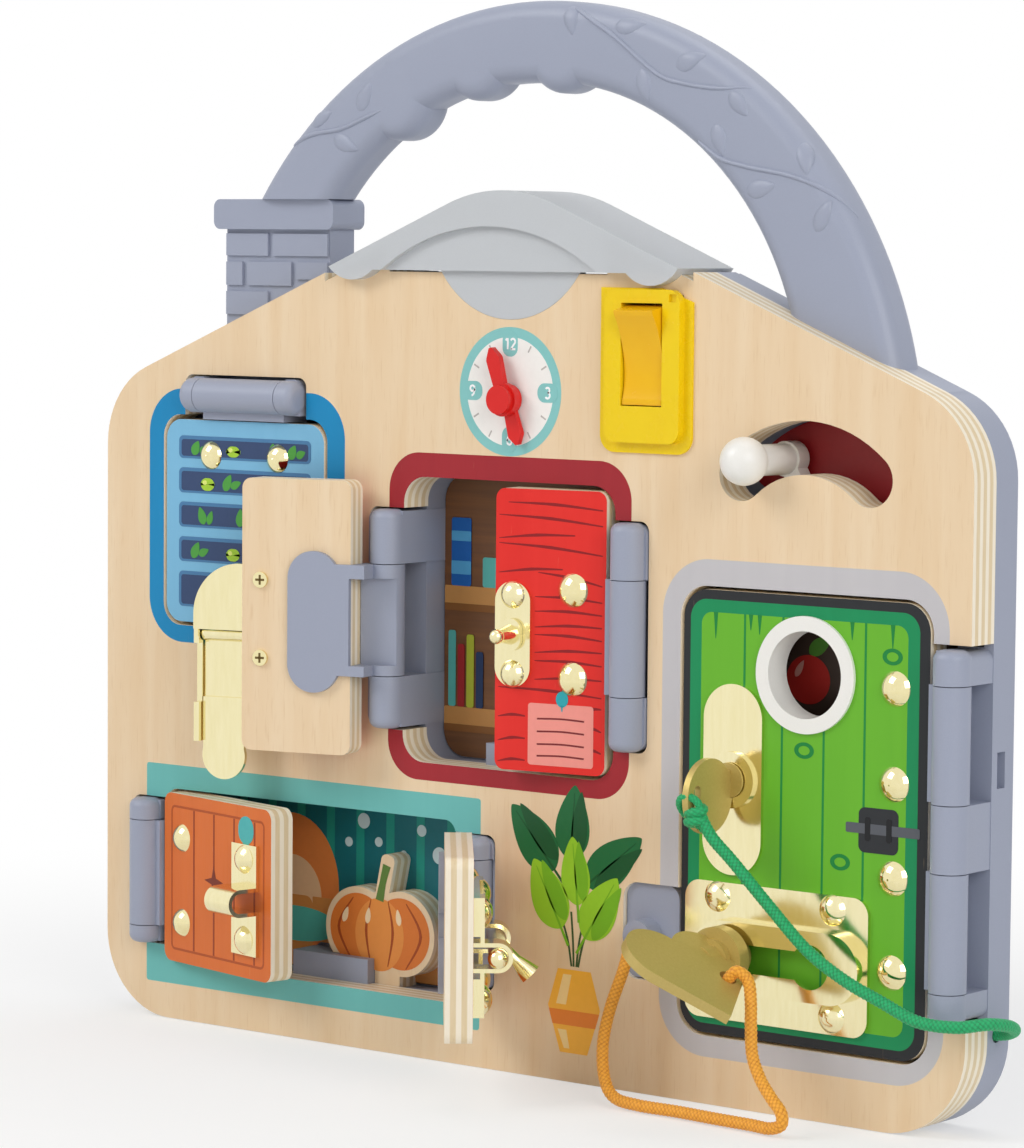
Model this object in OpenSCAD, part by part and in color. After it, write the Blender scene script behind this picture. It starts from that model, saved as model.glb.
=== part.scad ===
// Wooden busy board in the shape of a house: plywood front, moulded housing, doors, latches and a lamp.
// Millimetres. Origin: centre of the base, in the middle of the body's depth. +X right, +Y back, +Z up.

/* [Board] */
// Overall width
board_w = 320; // [300:1:340]
// Corner radius of base and eaves
corner_r = 26; // [16:1:32]
// Height at which the two roof lines would meet
roof_h = 262.6; // [255:0.2:275]
// Slope of the roof, degrees
roof_slope = 22.25; // [20:0.25:24]
// Plywood thickness
ply_t = 11.3; // [10.8:0.1:12.5]
// Depth of the moulded housing
shell_d = 9.2; // [9:0.1:14]
// Back cover thickness
back_t = 2.5; // [2:0.1:4]
// Outer wall of the housing
shell_w = 3; // [2:0.1:4]
// Walls around the compartments
comp_w = 2.4; // [1.6:0.1:3]
// Base of the lamp room, height
lamp_z = 234.5; // [232:0.5:236]

/* [Doors] */
// Door plywood thickness
door_t = 8; // [6:0.1:8.4]
// Gap around a closed door
door_gap = 1.2; // [0.8:0.1:2]
// Hinge knuckle radius
knuckle_r = 5.25; // [4.5:0.05:5.5]
// Hinge pin radius
pin_r = 1.5; // [1:0.1:2]
// Running clearance on a pin
run_gap = 0.08; // [0.03:0.01:0.1]
// Axial gap between knuckles
knuckle_gap = 0.25; // [0.15:0.05:0.5]
// Hinge leaf thickness
leaf_t = 1.6; // [1.2:0.1:2]
// Window: left door opened by this angle
window_left_open = 166; // [164:1:169]
// Window: right door ajar by this angle
window_right_open = 9; // [4:1:12]
// Cupboard: left door opened by this angle
cup_left_open = 13; // [5:1:60]
// Cupboard: right door opened by this angle
cup_right_open = 129.5; // [110:0.5:135]

/* [Hardware] */
// Rivet dome radius
rivet_r = 4.4; // [3.5:0.1:4.8]
// Radius of the larger domes on the red and the green door
wide_rivet_r = 4.9; // [4:0.1:5.2]
// Rivet dome height
rivet_h = 2.4; // [1.8:0.1:2.8]
// Rivet and screw shaft radius
shaft_r = 1.5; // [1.2:0.1:2]
// Brass sheet thickness
sheet_t = 1.2; // [0.8:0.1:1.6]
// Cupboard bolt radius
bolt_r = 2.7; // [2.2:0.1:3]
// Bolt axis above the door face
bolt_h = 7; // [6.5:0.1:8]
// Clearance of the bolt in its guides
bolt_gap = 0.35; // [0.2:0.05:0.6]
// Width of the slider's slot
slot_w = 8; // [6:0.5:10]
// Clearance of the slider's stem in the slot
slot_gap = 0.4; // [0.3:0.05:0.8]
// Thickness of the heart plate
heart_t = 3; // [2.5:0.1:4]
// Lean of the heart plate round its stem, degrees
heart_tilt = 56; // [45:1:60]

/* [Cords] */
// Cord radius
cord_r = 1.8; // [1.4:0.1:2]

/* [Handle] */
// Outer radius of the handle
handle_r = 129.5; // [128:0.5:132]
// Inner radius of the handle
handle_in = 92.5; // [90:0.5:95]
// Rounding of the handle's edges
handle_edge = 5.5; // [3:0.5:6]
// Front of the handle, measured from the plywood's face
handle_y0 = 6.5; // [5:0.5:8]
// Back of the handle, measured from the plywood's face
handle_y1 = 22; // [20:0.5:22.8]

/* [Part] */
// Node to draw

/* [Hidden] */
$fn = 64;
body_d = ply_t + shell_d + back_t;
half_w = board_w / 2;
back_y = ply_t + shell_d;
eave_x = half_w - corner_r;
eave_z = roof_h - eave_x * tan(roof_slope) - corner_r / cos(roof_slope);
// hinge axis in front of the plywood's face
hinge_y = -1.2;
// front face of a closed door, from the hinge axis
face_v = -hinge_y;
// hinge axes from the openings' edges
axis_in = 5.2;
notch_a = 8;
// openings: left, right, bottom, top, corner radius
shut_op = [-136, -69, 124, 189.5, 7];
win_op = [-38.8, 39.8, 89, 174, 8];
cup_op = [-134, -18.2, 18, 72.6, 4];
door_op = [63.3, half_w - 12, 19.5, 147.5, 9];
shut_axis_z = shut_op[3] + 6.3;
win_axis_l = win_op[0] - axis_in;
win_axis_r = win_op[1] + axis_in + 0.5;
cup_axis_l = cup_op[0] - 8.1;
cup_axis_r = cup_op[1] + 8.5;
door_axis = half_w - 5.2;
// rounding of the knuckles' ends
cap_e = 2.6;
// knuckle spans
win_k = [98.5, 114.4, 147.6, 164];
cup_k = [23.5, 29.3, 62.3, 69];
door_k = [33, 41.5, 74, 93, 125, 134.8];
shut_k = [-125, -118.5, -85.5, -79];
// depth of a rivet's shaft under the dome
rivet_len = door_t + 1.1;
edge_u = knuckle_r + 2.55;
win_u = (win_axis_r - win_axis_l) / 2 - 0.65;
cup_u = (cup_axis_r - cup_axis_l) / 2 - 0.6;
door_u = door_axis - door_op[0] - door_gap;
shut_u = shut_axis_z - shut_op[2] - door_gap;
// clock, arc and switch places
clock_x = 1.5;
clock_z = 197.9;
arc_x = 105;
arc_z = 155.2;
arc_r = 32.3;
arc_w = 15;
arc_half = 41.7;
lever_rest = -29;
switch_x = 50.7;
switch_z = 212;
lens_r = 30.8;
lens_z = 251.8;
slot_z = 44;
slot_l = 74;
slot_e = 112;
heart_x = 84;
key_x = 82.5;
key_z = 93.5;
screw_at = [[6 - half_w, 60], [6 - half_w, 160], [-60, 6], [60, 6], [half_w - 12, 12],
  [half_w - 6, 160], [-100, 206], [97, arc_z + 48.3]];
// cord routes in board coordinates
green_path = [[152.8, 16, 28], [158, 16, 28], [163.5, 15.5, 28.8], [168.5, 11.5, 31], [170.8, 4, 33.5],
  [169.2, -4, 34.8], [163, -9.5, 34], [152, -11.5, 34.5], [141, -12, 38.5]];
green_end_path = [[140.6, -12, 38.7], [129, -13, 43.5], [117, -13.5, 50.5], [105, -14.5, 61.5],
  [94.5, -17, 73], [89, -19.4, 79.5], [85.8, -20.4, 85]];
orange_path = [[52, -1.6, 46], [52, -6, 45.8], [53, -12, 37], [51, -15, 27], [50, -17, 17],
  [52, -19, 8], [57, -21, 3], [66, -22, 2], [80, -22, 2], [94, -23, 2], [106, -23.5, 2], [113, -24.5, 2.1],
  [117.2, -25, 3.8], [117, -25, 7.2], [113.6, -24.5, 10.4]];
orange_end_path = [[113.3, -24.4, 10.8], [109, -23.4, 15], [105.2, -22, 21], [103.2, -20, 28.5],
  [101.8, -18.2, 35], [100.4, -17.6, 40.6], [97.3, -18.8, 43], [94.3, -19.3, 40], [93.3, -19.1, 38.5]];

// ---------- drawing helpers ----------
module on_board() {
  translate([0, -body_d / 2, 0]) children();
}
module slab(y, t) {
  translate([0, y + t, 0]) rotate([90, 0, 0]) linear_extrude(t) children();
}
module rect2(x0, x1, z0, z1) {
  translate([x0, z0]) square([x1 - x0, z1 - z0]);
}
module rrect(x0, x1, z0, z1, r) {
  rect2(x0 + r, x1 - r, z0, z1);
  rect2(x0, x1, z0 + r, z1 - r);
  for (x = [x0 + r, x1 - r]) for (z = [z0 + r, z1 - r]) translate([x, z]) circle(r);
}
module opening(o, grow) {
  rrect(o[0] - grow, o[1] + grow, o[2] - grow, o[3] + grow, o[4] + grow);
}
module rod_y(x, z, y0, y1, r) {
  translate([x, y1, z]) rotate([90, 0, 0]) cylinder(r = r, h = y1 - y0);
}
function roof_at(x) = roof_h - abs(x) * tan(roof_slope);
module board_outline(d) {
  r = corner_r - d;
  sx = r * sin(roof_slope);
  sz = r * cos(roof_slope);
  polygon([[-eave_x, d], [eave_x, d], [eave_x + r, corner_r], [eave_x + r, eave_z],
    [eave_x + sx, eave_z + sz], [0, roof_h - d / cos(roof_slope)], [-eave_x - sx, eave_z + sz],
    [-eave_x - r, eave_z], [-eave_x - r, corner_r]]);
  for (x = [-eave_x, eave_x]) for (z = [corner_r, eave_z]) translate([x, z]) circle(r);
}
// room for the lamp cover at the peak
lamp_l = -70;
lamp_rt = 66;
lamp_wall = 2.2;
module under_lamp() {
  low = lamp_wall / cos(roof_slope) + 0.2;
  rect2(lamp_l + 25, lamp_rt - 30, lamp_z, 300);
  polygon([[lamp_l - 0.3, roof_at(lamp_l - 0.3) - low], [0, roof_h - low],
    [lamp_rt + 0.3, roof_at(lamp_rt + 0.3) - low], [lamp_rt + 0.3, 300], [lamp_l - 0.3, 300]]);
}
peak_r = 52;
module roof_wedge(d) {
  r = peak_r - d;
  drop = d / cos(roof_slope);
  pz = roof_h - peak_r / cos(roof_slope);
  tx = r * sin(roof_slope);
  difference() {
    polygon([[-90, roof_at(90) - drop], [0, roof_h - drop], [90, roof_at(90) - drop], [90, 190], [-90, 190]]);
    difference() {
      rect2(-tx + 1.2, tx - 1.2, pz + r * cos(roof_slope) - 6, 300);
      translate([0, pz]) circle(r);
    }
  }
}
module lamp_shape(g) {
  intersection() {
    roof_wedge(0);
    union() {
      translate([lamp_l + 13.5, 244.5]) circle(12.5 + g);
      translate([lamp_rt - 12, 243.5]) circle(12 + g);
      rect2(lamp_l + 18, lamp_rt - 18, lamp_z + 0.5 - g, 265);
    }
  }
}
module barrel(w0, w1, e0, e1) {
  rotate_extrude() {
    polygon([[0, w0], [knuckle_r - e0, w0], [knuckle_r, w0 + e0], [knuckle_r, w1 - e1],
      [knuckle_r - e1, w1], [0, w1]]);
    if (e0 > 0) translate([knuckle_r - e0, w0 + e0]) circle(e0);
    if (e1 > 0) translate([knuckle_r - e1, w1 - e1]) circle(e1);
  }
}
// fixed knuckle: barrel and the block that comes forward through the notch
module fixed_knuckle(w0, w1, e0, e1, ua, ub) {
  difference() {
    union() {
      barrel(w0, w1, e0, e1);
      b0 = e0 > 0 ? w0 + 0.5 : w0;
      b1 = e1 > 0 ? w1 - 0.5 : w1;
      cr = min(3, (b1 - b0) / 2 - 0.1);
      slab(face_v - 0.7, back_y + 0.7) {
        rect2(-ua + 0.2 + cr, ub, b0, b1);
        rect2(-ua + 0.2, 0, e0 > 0 ? b0 + cr : b0, e1 > 0 ? b1 - cr : b1);
        if (e0 > 0) translate([-ua + 0.2 + cr, b0 + cr]) circle(cr);
        if (e1 > 0) translate([-ua + 0.2 + cr, b1 - cr]) circle(cr);
      }
    }
    translate([0, 0, w0 + (e0 > 0 ? 1.5 : -1)])
      cylinder(r = pin_r, h = w1 - w0 - (e0 > 0 ? 1.5 : -1) - (e1 > 0 ? 1.5 : -1));
  }
}
module moving_knuckle(w0, w1) {
  difference() {
    union() {
      barrel(w0, w1, 0, 0);
      translate([2.5, 0, w0]) cube([edge_u - 0.35 - 2.5, face_v + door_t + leaf_t, w1 - w0]);
    }
    translate([0, 0, w0 - 1]) cylinder(r = pin_r + run_gap, h = w1 - w0 + 2);
  }
}
module leaf_plate(u1, w0, w1, k0, k1) {
  slab(face_v + door_t, leaf_t) {
    rrect(edge_u + 3.2, u1, w0, w1, min(8.4, (w1 - w0) / 2 - 0.1));
    rect2(3, edge_u + 10, k0, k1);
  }
}
module rivet(u, w, len, r = rivet_r) {
  rr = (r * r + rivet_h * rivet_h) / (2 * rivet_h);
  translate([u, face_v, w]) rotate([90, 0, 0]) {
    intersection() {
      translate([0, 0, rivet_h - rr]) sphere(rr);
      cylinder(r = r + 1, h = rivet_h + 1);
    }
    translate([0, 0, -len]) cylinder(r = shaft_r, h = len);
  }
}
module bore(u, w, len) {
  translate([u, face_v + len, w]) rotate([90, 0, 0]) cylinder(r = shaft_r, h = len + 5);
}
module left_pose(ax, ang) {
  translate([ax, hinge_y, 0]) rotate([0, 0, -ang]) children();
}
module right_pose(ax, ang) {
  translate([ax, hinge_y, 0]) mirror([1, 0, 0]) rotate([0, 0, -ang]) children();
}
module top_pose() {
  translate([0, hinge_y, shut_axis_z]) rotate([0, 90, 0]) children();
}
// strap bent over the bolt: profile in the plane across the bolt, run along the bolt
module strap(u0, u1, w0, w1, wc, base) {
  ri = bolt_r + bolt_gap;
  ro = ri + sheet_t;
  translate([u0, face_v, 0]) rotate([0, 0, 90]) rotate([90, 0, 0]) linear_extrude(u1 - u0)
    difference() {
      union() {
        rect2(-sheet_t - base, -base, w0, w1);
        rect2(-bolt_h, 0, wc - ro, wc + ro);
        translate([-bolt_h, wc]) circle(ro);
      }
      rect2(-bolt_h, 1, wc - ri, wc + ri);
      translate([-bolt_h, wc]) circle(ri);
    }
}
module tube(path, r) {
  n = 8;
  m = len(path) - 1;
  pts = [for (i = [0 : m]) let (a = path[max(i - 1, 0)], b = path[min(i + 1, m)],
    d = (b - a) / norm(b - a), h = abs(d[2]) > 0.8 ? [1, 0, 0] : [0, 0, 1],
    s = cross(d, h) / norm(cross(d, h)), t = cross(s, d))
    for (k = [0 : n - 1]) path[i] + r * (cos(360 * k / n) * s + sin(360 * k / n) * t)];
  faces = concat([[for (k = [0 : n - 1]) n - 1 - k]], [[for (k = [0 : n - 1]) m * n + k]],
    [for (i = [0 : m - 1]) for (k = [0 : n - 1])
      [i * n + k, i * n + (k + 1) % n, (i + 1) * n + (k + 1) % n, (i + 1) * n + k]]);
  polyhedron(points = pts, faces = faces, convexity = 6);
}
// points between the chosen ones, on a smooth curve
function smooth(p, n) = [for (i = [0 : len(p) - 2]) for (k = [0 : n - 1])
  let (t = k / n, a = p[max(i - 1, 0)], b = p[i], c = p[i + 1], d = p[min(i + 2, len(p) - 1)])
  0.5 * ((2 * b) + (c - a) * t + (2 * a - 5 * b + 4 * c - d) * t * t
  + (3 * b - a - 3 * c + d) * t * t * t), p[len(p) - 1]];

// ---------- fixed body ----------
module notches() {
  rrect(shut_k[0] - 2, shut_k[3] + 1.5, shut_op[3] - 4, shut_axis_z + 6.2, 3);
  rrect(win_axis_l - notch_a, win_op[0] + 4, win_k[0] - 0.5, win_k[3] + 0.5, 3);
  rrect(win_op[1] - 4, win_axis_r + notch_a - 1.7, win_k[0] - 0.5, win_k[3] + 0.5, 3);
  rrect(cup_axis_l - 6.5, cup_op[0] + 4, cup_k[0] - 0.5, cup_k[3] + 0.5, 3);
  rrect(cup_op[1] - 4, cup_axis_r + 6.5, cup_k[0] - 0.5, cup_k[3] + 0.5, 3);
  rect2(door_op[1] - 4, half_w + 1, door_k[0] - 1, door_k[5] + 1.2);
  rrect(44, door_op[0] + 4, 33, 61, 5);
}
module arc_2d(r0, r1, a) {
  intersection() {
    difference() {
      circle(r1);
      circle(r0);
    }
    polygon([[0, 0], [-90 * sin(a), 90 * cos(a)], [-90 * sin(a), 160], [90 * sin(a), 160],
      [90 * sin(a), 90 * cos(a)]]);
  }
}
module arc_slot(g) {
  translate([arc_x, arc_z]) {
    arc_2d(arc_r - arc_w / 2 - g, arc_r + arc_w / 2 + g, arc_half);
    for (a = [-arc_half, arc_half]) translate([arc_r * sin(a), arc_r * cos(a)]) circle(arc_w / 2 + g);
  }
}
module front_panel() {
  color([0.92, 0.83, 0.7]) on_board() difference() {
    slab(0, ply_t) difference() {
      board_outline(0);
      under_lamp();
      translate([0.5, lens_z]) circle(lens_r);
      opening(shut_op, 0);
      opening(win_op, 0);
      opening(cup_op, 0);
      opening(door_op, 0);
      notches();
      arc_slot(0);
      translate([clock_x, clock_z]) circle(2);
      rect2(switch_x - 12.4, switch_x + 12.4, 189, 229);
    }
    translate([-62.6, ply_t - 3.2, 187.4]) cube([49.2, 5, 26.2]);
  }
}
module comp_wall(o) {
  difference() {
    opening(o, 0.5 + comp_w);
    opening(o, 0.5);
  }
}
module boss_2d(p) {
  translate(p) circle(3.6);
}
module heat_room(g) {
  rrect(arc_x - 36 - g, arc_x + 40 + g, arc_z - 4.6 - g, arc_z + 43 + g, 6 + g);
}
module housing() {
  color([0.61, 0.64, 0.72]) on_board() difference() {
    union() {
      slab(ply_t, shell_d) difference() {
        union() {
          difference() {
            board_outline(0);
            board_outline(shell_w);
          }
          comp_wall(shut_op);
          comp_wall(win_op);
          comp_wall(cup_op);
          comp_wall(door_op);
          heat_room(comp_w);
          difference() {
            rect2(-65.5, -10.5, 184.6, 216.4);
            rect2(-63, -13, 187, 214);
          }
          difference() {
            rect2(switch_x - 15.6, switch_x + 15.6, 185.6, 232);
            rect2(switch_x - 13, switch_x + 13, 188.4, 232.5);
          }
          difference() {
            rect2(-34, 34, 216, 232.8);
            rect2(-31.5, 31.5, 218.5, 233);
          }
          // ribs, cut off at the compartments
          difference() {
            union() {
              rect2(-158, -138, 150, 152.4);
              rect2(-68, -40, 150, 152.4);
              rect2(41, 62, 110, 112.4);
              rect2(-17, 62, 60, 62.4);
              rect2(-100, -97.6, 2, 20);
              rect2(20, 22.4, 2, 88);
              rect2(100, 102.4, 2, 20);
              rect2(-100, -97.6, 76, 124);
              rect2(-10, -7.6, 174, 186);
              rect2(30, 32.4, 172, 218);
              rect2(45, 47.4, 174, 187);
              rect2(30, 66, 182, 184.4);
              rect2(144, 158, 180, 182.4);
              rect2(-104, -64, 202, 204.4);
              rect2(-104, -101.6, 192, 214);
            }
            opening(shut_op, 0.5);
            opening(win_op, 0.5);
            opening(cup_op, 0.5);
          }
          for (p = screw_at) boss_2d(p);
          rrect(44.3, door_op[0] + 1, 33.3, 60.7, 4);
          // back rests of the doors
          rect2(-13.5, 14.5, win_op[2] - 1, win_op[2] + 6.5);
          rect2(-89, -59, cup_op[2] - 1, cup_op[2] + 7.5);
          rect2(90, 120, door_op[2] - 1, door_op[2] + 5);
        }
        opening(door_op, 0.5);
        heat_room(0);
        under_lamp();
        for (p = screw_at) translate(p) circle(shaft_r);
      }
      // door rests, kept clear of the closed doors
      slab(8.3, back_y - 8.3) {
        rect2(-13.5, 14.5, win_op[2], win_op[2] + 6.5);
        rect2(-89, -59, cup_op[2], cup_op[2] + 7.5);
        rect2(90, 120, door_op[2], door_op[2] + 5);
      }
      slab(ply_t, shell_d) rect2(90, 120, door_op[2] - 1, door_op[2] + 1);
      slab(1.5, back_y - 1.5) rrect(44.3, door_op[0] - 0.4, 33.3, 60.7, 4);
      rod_y(52, 46, -4.5, 2, 4.8);
      rod_y(arc_x, arc_z, 12.6, back_y, 2.5);
      translate([arc_x - 3.2, 18.4, arc_z - 4.8]) cube([6.4, back_y - 18.4, 8]);
      // fixed knuckles
      left_pose(win_axis_l, 0) {
        fixed_knuckle(win_k[0], win_k[1] - knuckle_gap, cap_e, 0, notch_a, axis_in);
        fixed_knuckle(win_k[2] + knuckle_gap, win_k[3], 0, cap_e, notch_a, axis_in);
      }
      right_pose(win_axis_r, 0) {
        fixed_knuckle(win_k[0], win_k[1] - knuckle_gap, cap_e, 0, notch_a - 1.9, axis_in + 0.5);
        fixed_knuckle(win_k[2] + knuckle_gap, win_k[3], 0, cap_e, notch_a - 1.9, axis_in + 0.5);
      }
      left_pose(cup_axis_l, 0) {
        fixed_knuckle(cup_k[0], cup_k[1] - knuckle_gap, cap_e, 0, 6.3, 5.6);
        fixed_knuckle(cup_k[2] + knuckle_gap, cup_k[3], 0, cap_e, 6.3, 5.6);
      }
      right_pose(cup_axis_r, 0) {
        fixed_knuckle(cup_k[0], cup_k[1] - knuckle_gap, cap_e, 0, 6.3, 5.6);
        fixed_knuckle(cup_k[2] + knuckle_gap, cup_k[3], 0, cap_e, 6.3, 5.6);
      }
      right_pose(door_axis, 0) {
        fixed_knuckle(door_k[0], door_k[1] - knuckle_gap, 2, 0, 5.2, 5.6);
        fixed_knuckle(door_k[2] + knuckle_gap, door_k[3] - knuckle_gap, 0, 0, 5.2, 5.6);
        fixed_knuckle(door_k[4] + knuckle_gap, door_k[5], 0, cap_e, 5.2, 5.6);
      }
      top_pose() {
        fixed_knuckle(shut_k[0], shut_k[1] - knuckle_gap, cap_e, 0, 5.8, 5.4);
        fixed_knuckle(shut_k[2] + knuckle_gap, shut_k[3], 0, cap_e, 5.8, 5.4);
      }
      // backs of the notches beside the moving knuckles
      slab(ply_t, shell_d) {
        rect2(win_axis_l - notch_a, win_op[0] - 0.5, win_k[0], win_k[3]);
        rect2(win_op[1] + 0.5, win_axis_r + notch_a - 1.9, win_k[0], win_k[3]);
        rect2(cup_axis_l - 6.3, cup_op[0] - 0.5, cup_k[0], cup_k[3]);
        rect2(cup_op[1] + 0.5, cup_axis_r + 6.3, cup_k[0], cup_k[3]);
        rect2(door_op[1] + 0.5, half_w, door_k[0], door_k[5]);
        rect2(shut_k[0], shut_k[3], shut_op[3] + 0.5, shut_axis_z + 5.8);
      }
    }
    // socket for the handle's tongue, holes for the two cords, screw pocket in the side
    translate([handle_foot_x - 7.2, 13.3, 190]) cube([14.4, 5.4, 40]);
    translate([half_w - 8.5, 16, 28]) rotate([0, 90, 0]) cylinder(r = cord_r + 0.35, h = 30);
    rod_y(52, 46, -6, -1.2, cord_r + 0.35);
    translate([half_w - 3, 14, 96]) cube([4, 4, 10]);
  }
}
module back_cover() {
  color([0.6, 0.63, 0.71]) on_board() slab(back_y, back_t) difference() {
    board_outline(0.4);
    lamp_shape(0.3);
    under_lamp();
    for (p = screw_at) translate(p) circle(shaft_r + 0.2);
    rrect(-64, -12, 186, 215, 3);
  }
}
module cover_screws() {
  color([0.7, 0.7, 0.72]) on_board() for (p = screw_at) {
    rod_y(p[0], p[1], back_y - 7, back_y + back_t, shaft_r);
    rod_y(p[0], p[1], back_y + back_t, back_y + back_t + 1, 2.8);
  }
}
handle_x = 3;
handle_z = 184;
grip_x = 4;
grip_z = 197.4;
handle_foot_x = 112;
module round_disc(r, y0, y1, e) {
  translate([0, y1, 0]) rotate([90, 0, 0]) rotate_extrude() {
    polygon([[0, 0], [r - e, 0], [r, e], [r, y1 - y0 - e], [r - e, y1 - y0], [0, y1 - y0]]);
    translate([r - e, e]) circle(e);
    translate([r - e, y1 - y0 - e]) circle(e);
  }
}
module flare_hole(r, y0, y1, e) {
  translate([0, y1, 0]) rotate([90, 0, 0]) rotate_extrude() difference() {
    translate([0, -1]) square([r + e, y1 - y0 + 2]);
    translate([r + e, e]) circle(e);
    translate([r + e, y1 - y0 - e]) circle(e);
    translate([r, e]) square([e + 1, y1 - y0 - 2 * e]);
  }
}
module handle() {
  color([0.61, 0.64, 0.72]) on_board() {
    difference() {
      union() {
        difference() {
          translate([handle_x, 0, handle_z]) round_disc(handle_r, handle_y0, handle_y1, handle_edge);
          // the opening is wider on the left
          for (x = [grip_x, grip_x - 6.5]) translate([x, 0, grip_z])
            flare_hole(handle_in, handle_y0, handle_y1, handle_edge);
        }
        // finger bumps
        for (a = [-30, -12, 6])
          translate([grip_x - 3.2 + (handle_in + 9.6) * sin(a), 0, grip_z + (handle_in + 9.6) * cos(a)])
            round_disc(12.4, handle_y0, handle_y1, handle_edge);
      }
      // foot on the roof at the right, foot on the chimney at the left
      slab(handle_y0 - 1, 20) polygon([[0, 20], [0, roof_h], [200, roof_at(200)], [200, 20]]);
      slab(handle_y0 - 1, 20) rect2(-160, 1, 20, chim_top);
    }
    translate([handle_foot_x - 7, 13.5, 204]) cube([14, 5, 24]);
  }
}
chim_l = -120;
chim_rt = -78;
chim_top = 256;
cap_h = 9.2;
module chimney() {
  color([0.6, 0.63, 0.71]) on_board() {
    z1 = chim_top - cap_h;
    slab(ply_t, body_d - ply_t - 0.5) polygon([[chim_l, roof_at(chim_l)], [chim_rt, roof_at(chim_rt)],
      [chim_rt, z1], [chim_l, z1]]);
    slab(9, 14.8) rrect(chim_l - 3.5, chim_rt + 3, z1, chim_top, 2.5);
    // raised bricks
    slab(ply_t - 0.9, 1.2) {
      rect2(chim_l + 0.4, -102.5, 238.7, 245.5);
      rect2(-100.5, chim_rt - 0.4, 238.7, 245.5);
      rect2(-111, -93, 229.6, 236.8);
      rect2(chim_l + 0.4, -113, 229.6, 236.8);
      rect2(-91, chim_rt - 0.4, 231.6, 236.8);
      rect2(chim_l + 0.4, -102.5, 220.6, 227.7);
    }
  }
}
module lamp_cover() {
  color([0.85, 0.86, 0.87, 0.9]) on_board() difference() {
    slab(-4, body_d + 4) lamp_shape(0);
    slab(0, back_y + 0.2) {
      roof_wedge(lamp_wall);
      rect2(-90, 90, 200, 233.5);
    }
    slab(-5, 3) intersection() {
      translate([-5, 180]) circle(68);
      rect2(-50, 45, 234, 250);
    }
  }
}
module lamp_lens() {
  color([0.8, 0.81, 0.82, 0.85]) on_board() slab(0, 3) intersection() {
    translate([0.5, lens_z]) circle(lens_r - 0.1);
    rect2(-40, 40, 200, lamp_z + 0.5);
  }
}
module led_board() {
  color([0.15, 0.4, 0.25]) on_board() {
    translate([-14, 15, 219.4]) cube([30, 1.2, 13]);
    color([0.95, 0.95, 0.9]) translate([-6, 6, 222.4]) cube([10, 9, 9.6]);
  }
}
module switch_plate() {
  color([0.94, 0.82, 0.12]) on_board() slab(-0.8, 0.8) difference() {
    intersection() {
      rrect(switch_x - 16.2, switch_x + 16.1, 184, 240, 5);
      polygon([[-10, 100], [150, 100], [150, roof_at(150) - 4], [-10, roof_at(-10) - 4]]);
      rect2(0, 100, 180, 230.9);
    }
    rect2(switch_x - 12.2, switch_x + 12.2, 189.2, 228.8);
  }
}
module switch_body() {
  color([0.94, 0.82, 0.12]) on_board() difference() {
    union() {
      slab(-3.3, 3.3 - 0.8) rrect(switch_x - 13.2, switch_x + 13.3, 187, 230.5, 4);
      slab(-0.9, 18) rect2(switch_x - 12.1, switch_x + 12.1, 189.3, 228.7);
    }
    slab(-6, 19) rect2(switch_x - 7.25, switch_x + 7.25, switch_z - 14.6, switch_z + 14.6);
    translate([switch_x + 9.5, -4, 227]) cube([2.6, 1.6, 2.2]);
    translate([switch_x - 9.6, 0, switch_z]) rotate([0, 90, 0]) cylinder(r = 1.6 + run_gap, h = 19.2);
  }
}
module battery_box() {
  color([0.25, 0.26, 0.28]) on_board() difference() {
    translate([-62.4, ply_t - 3, 187.6]) cube([48.8, shell_d + 3, 25.8]);
    translate([-61.2, ply_t - 2, 188.8]) cube([46.4, 20, 23.4]);
  }
}
module battery_cells() {
  color([0.2, 0.35, 0.6]) on_board() for (z = [194.5, 206.5])
    translate([-60.2, ply_t + 3.3, z]) rotate([0, 90, 0]) {
      cylinder(r = 5.2, h = 42.5);
      cylinder(r = 1.9, h = 43.6);
    }
}
module battery_contacts() {
  color([0.8, 0.8, 0.8]) on_board() {
    translate([-61.2, ply_t - 1, 189.5]) cube([1, 9, 22]);
    for (z = [189.9, 201.9]) translate([-16.6, ply_t - 1, z]) cube([1.4, 9, 9]);
  }
}
module battery_cover() {
  color([0.58, 0.61, 0.69]) on_board() slab(back_y, back_t) rrect(-63.8, -12.2, 186.2, 214.8, 2.8);
}
module picture_cards() {
  color([0.5, 0.45, 0.35]) on_board() slab(back_y - 1, 1) {
    opening(shut_op, 0);
    difference() {
      opening(win_op, 0);
      rect2(-14.5, 15.5, 80, win_op[2] + 7.5);
    }
    difference() {
      opening(cup_op, 0);
      rect2(-90, -58, 10, cup_op[2] + 8.5);
    }
    difference() {
      opening(door_op, 0);
      rect2(89, 121, 10, door_op[2] + 6);
    }
  }
}
module heat_card() {
  color([0.63, 0.1, 0.12]) on_board() slab(back_y - 1, 1) translate([arc_x, arc_z])
    arc_2d(17, 40.5, 54);
}
fig_x = -57;
fig_z = 34;
module figure() {
  color([0.9, 0.6, 0.3]) on_board() slab(ply_t + 0.2, door_t) difference() {
    union() {
    translate([fig_x - 8.5, fig_z]) circle(13);
    translate([fig_x, fig_z - 1]) circle(13);
    translate([fig_x + 8.5, fig_z]) circle(13);
    rect2(fig_x - 8, fig_x + 8, cup_op[2] - 0.5, fig_z);
    translate([fig_x + 1, fig_z + 12]) rotate(-12) rrect(-2.6, 2.6, -4, 12, 2);
    }
    rect2(fig_x - 50, -58.8, 0, cup_op[2] + 7.7);
  }
}
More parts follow.
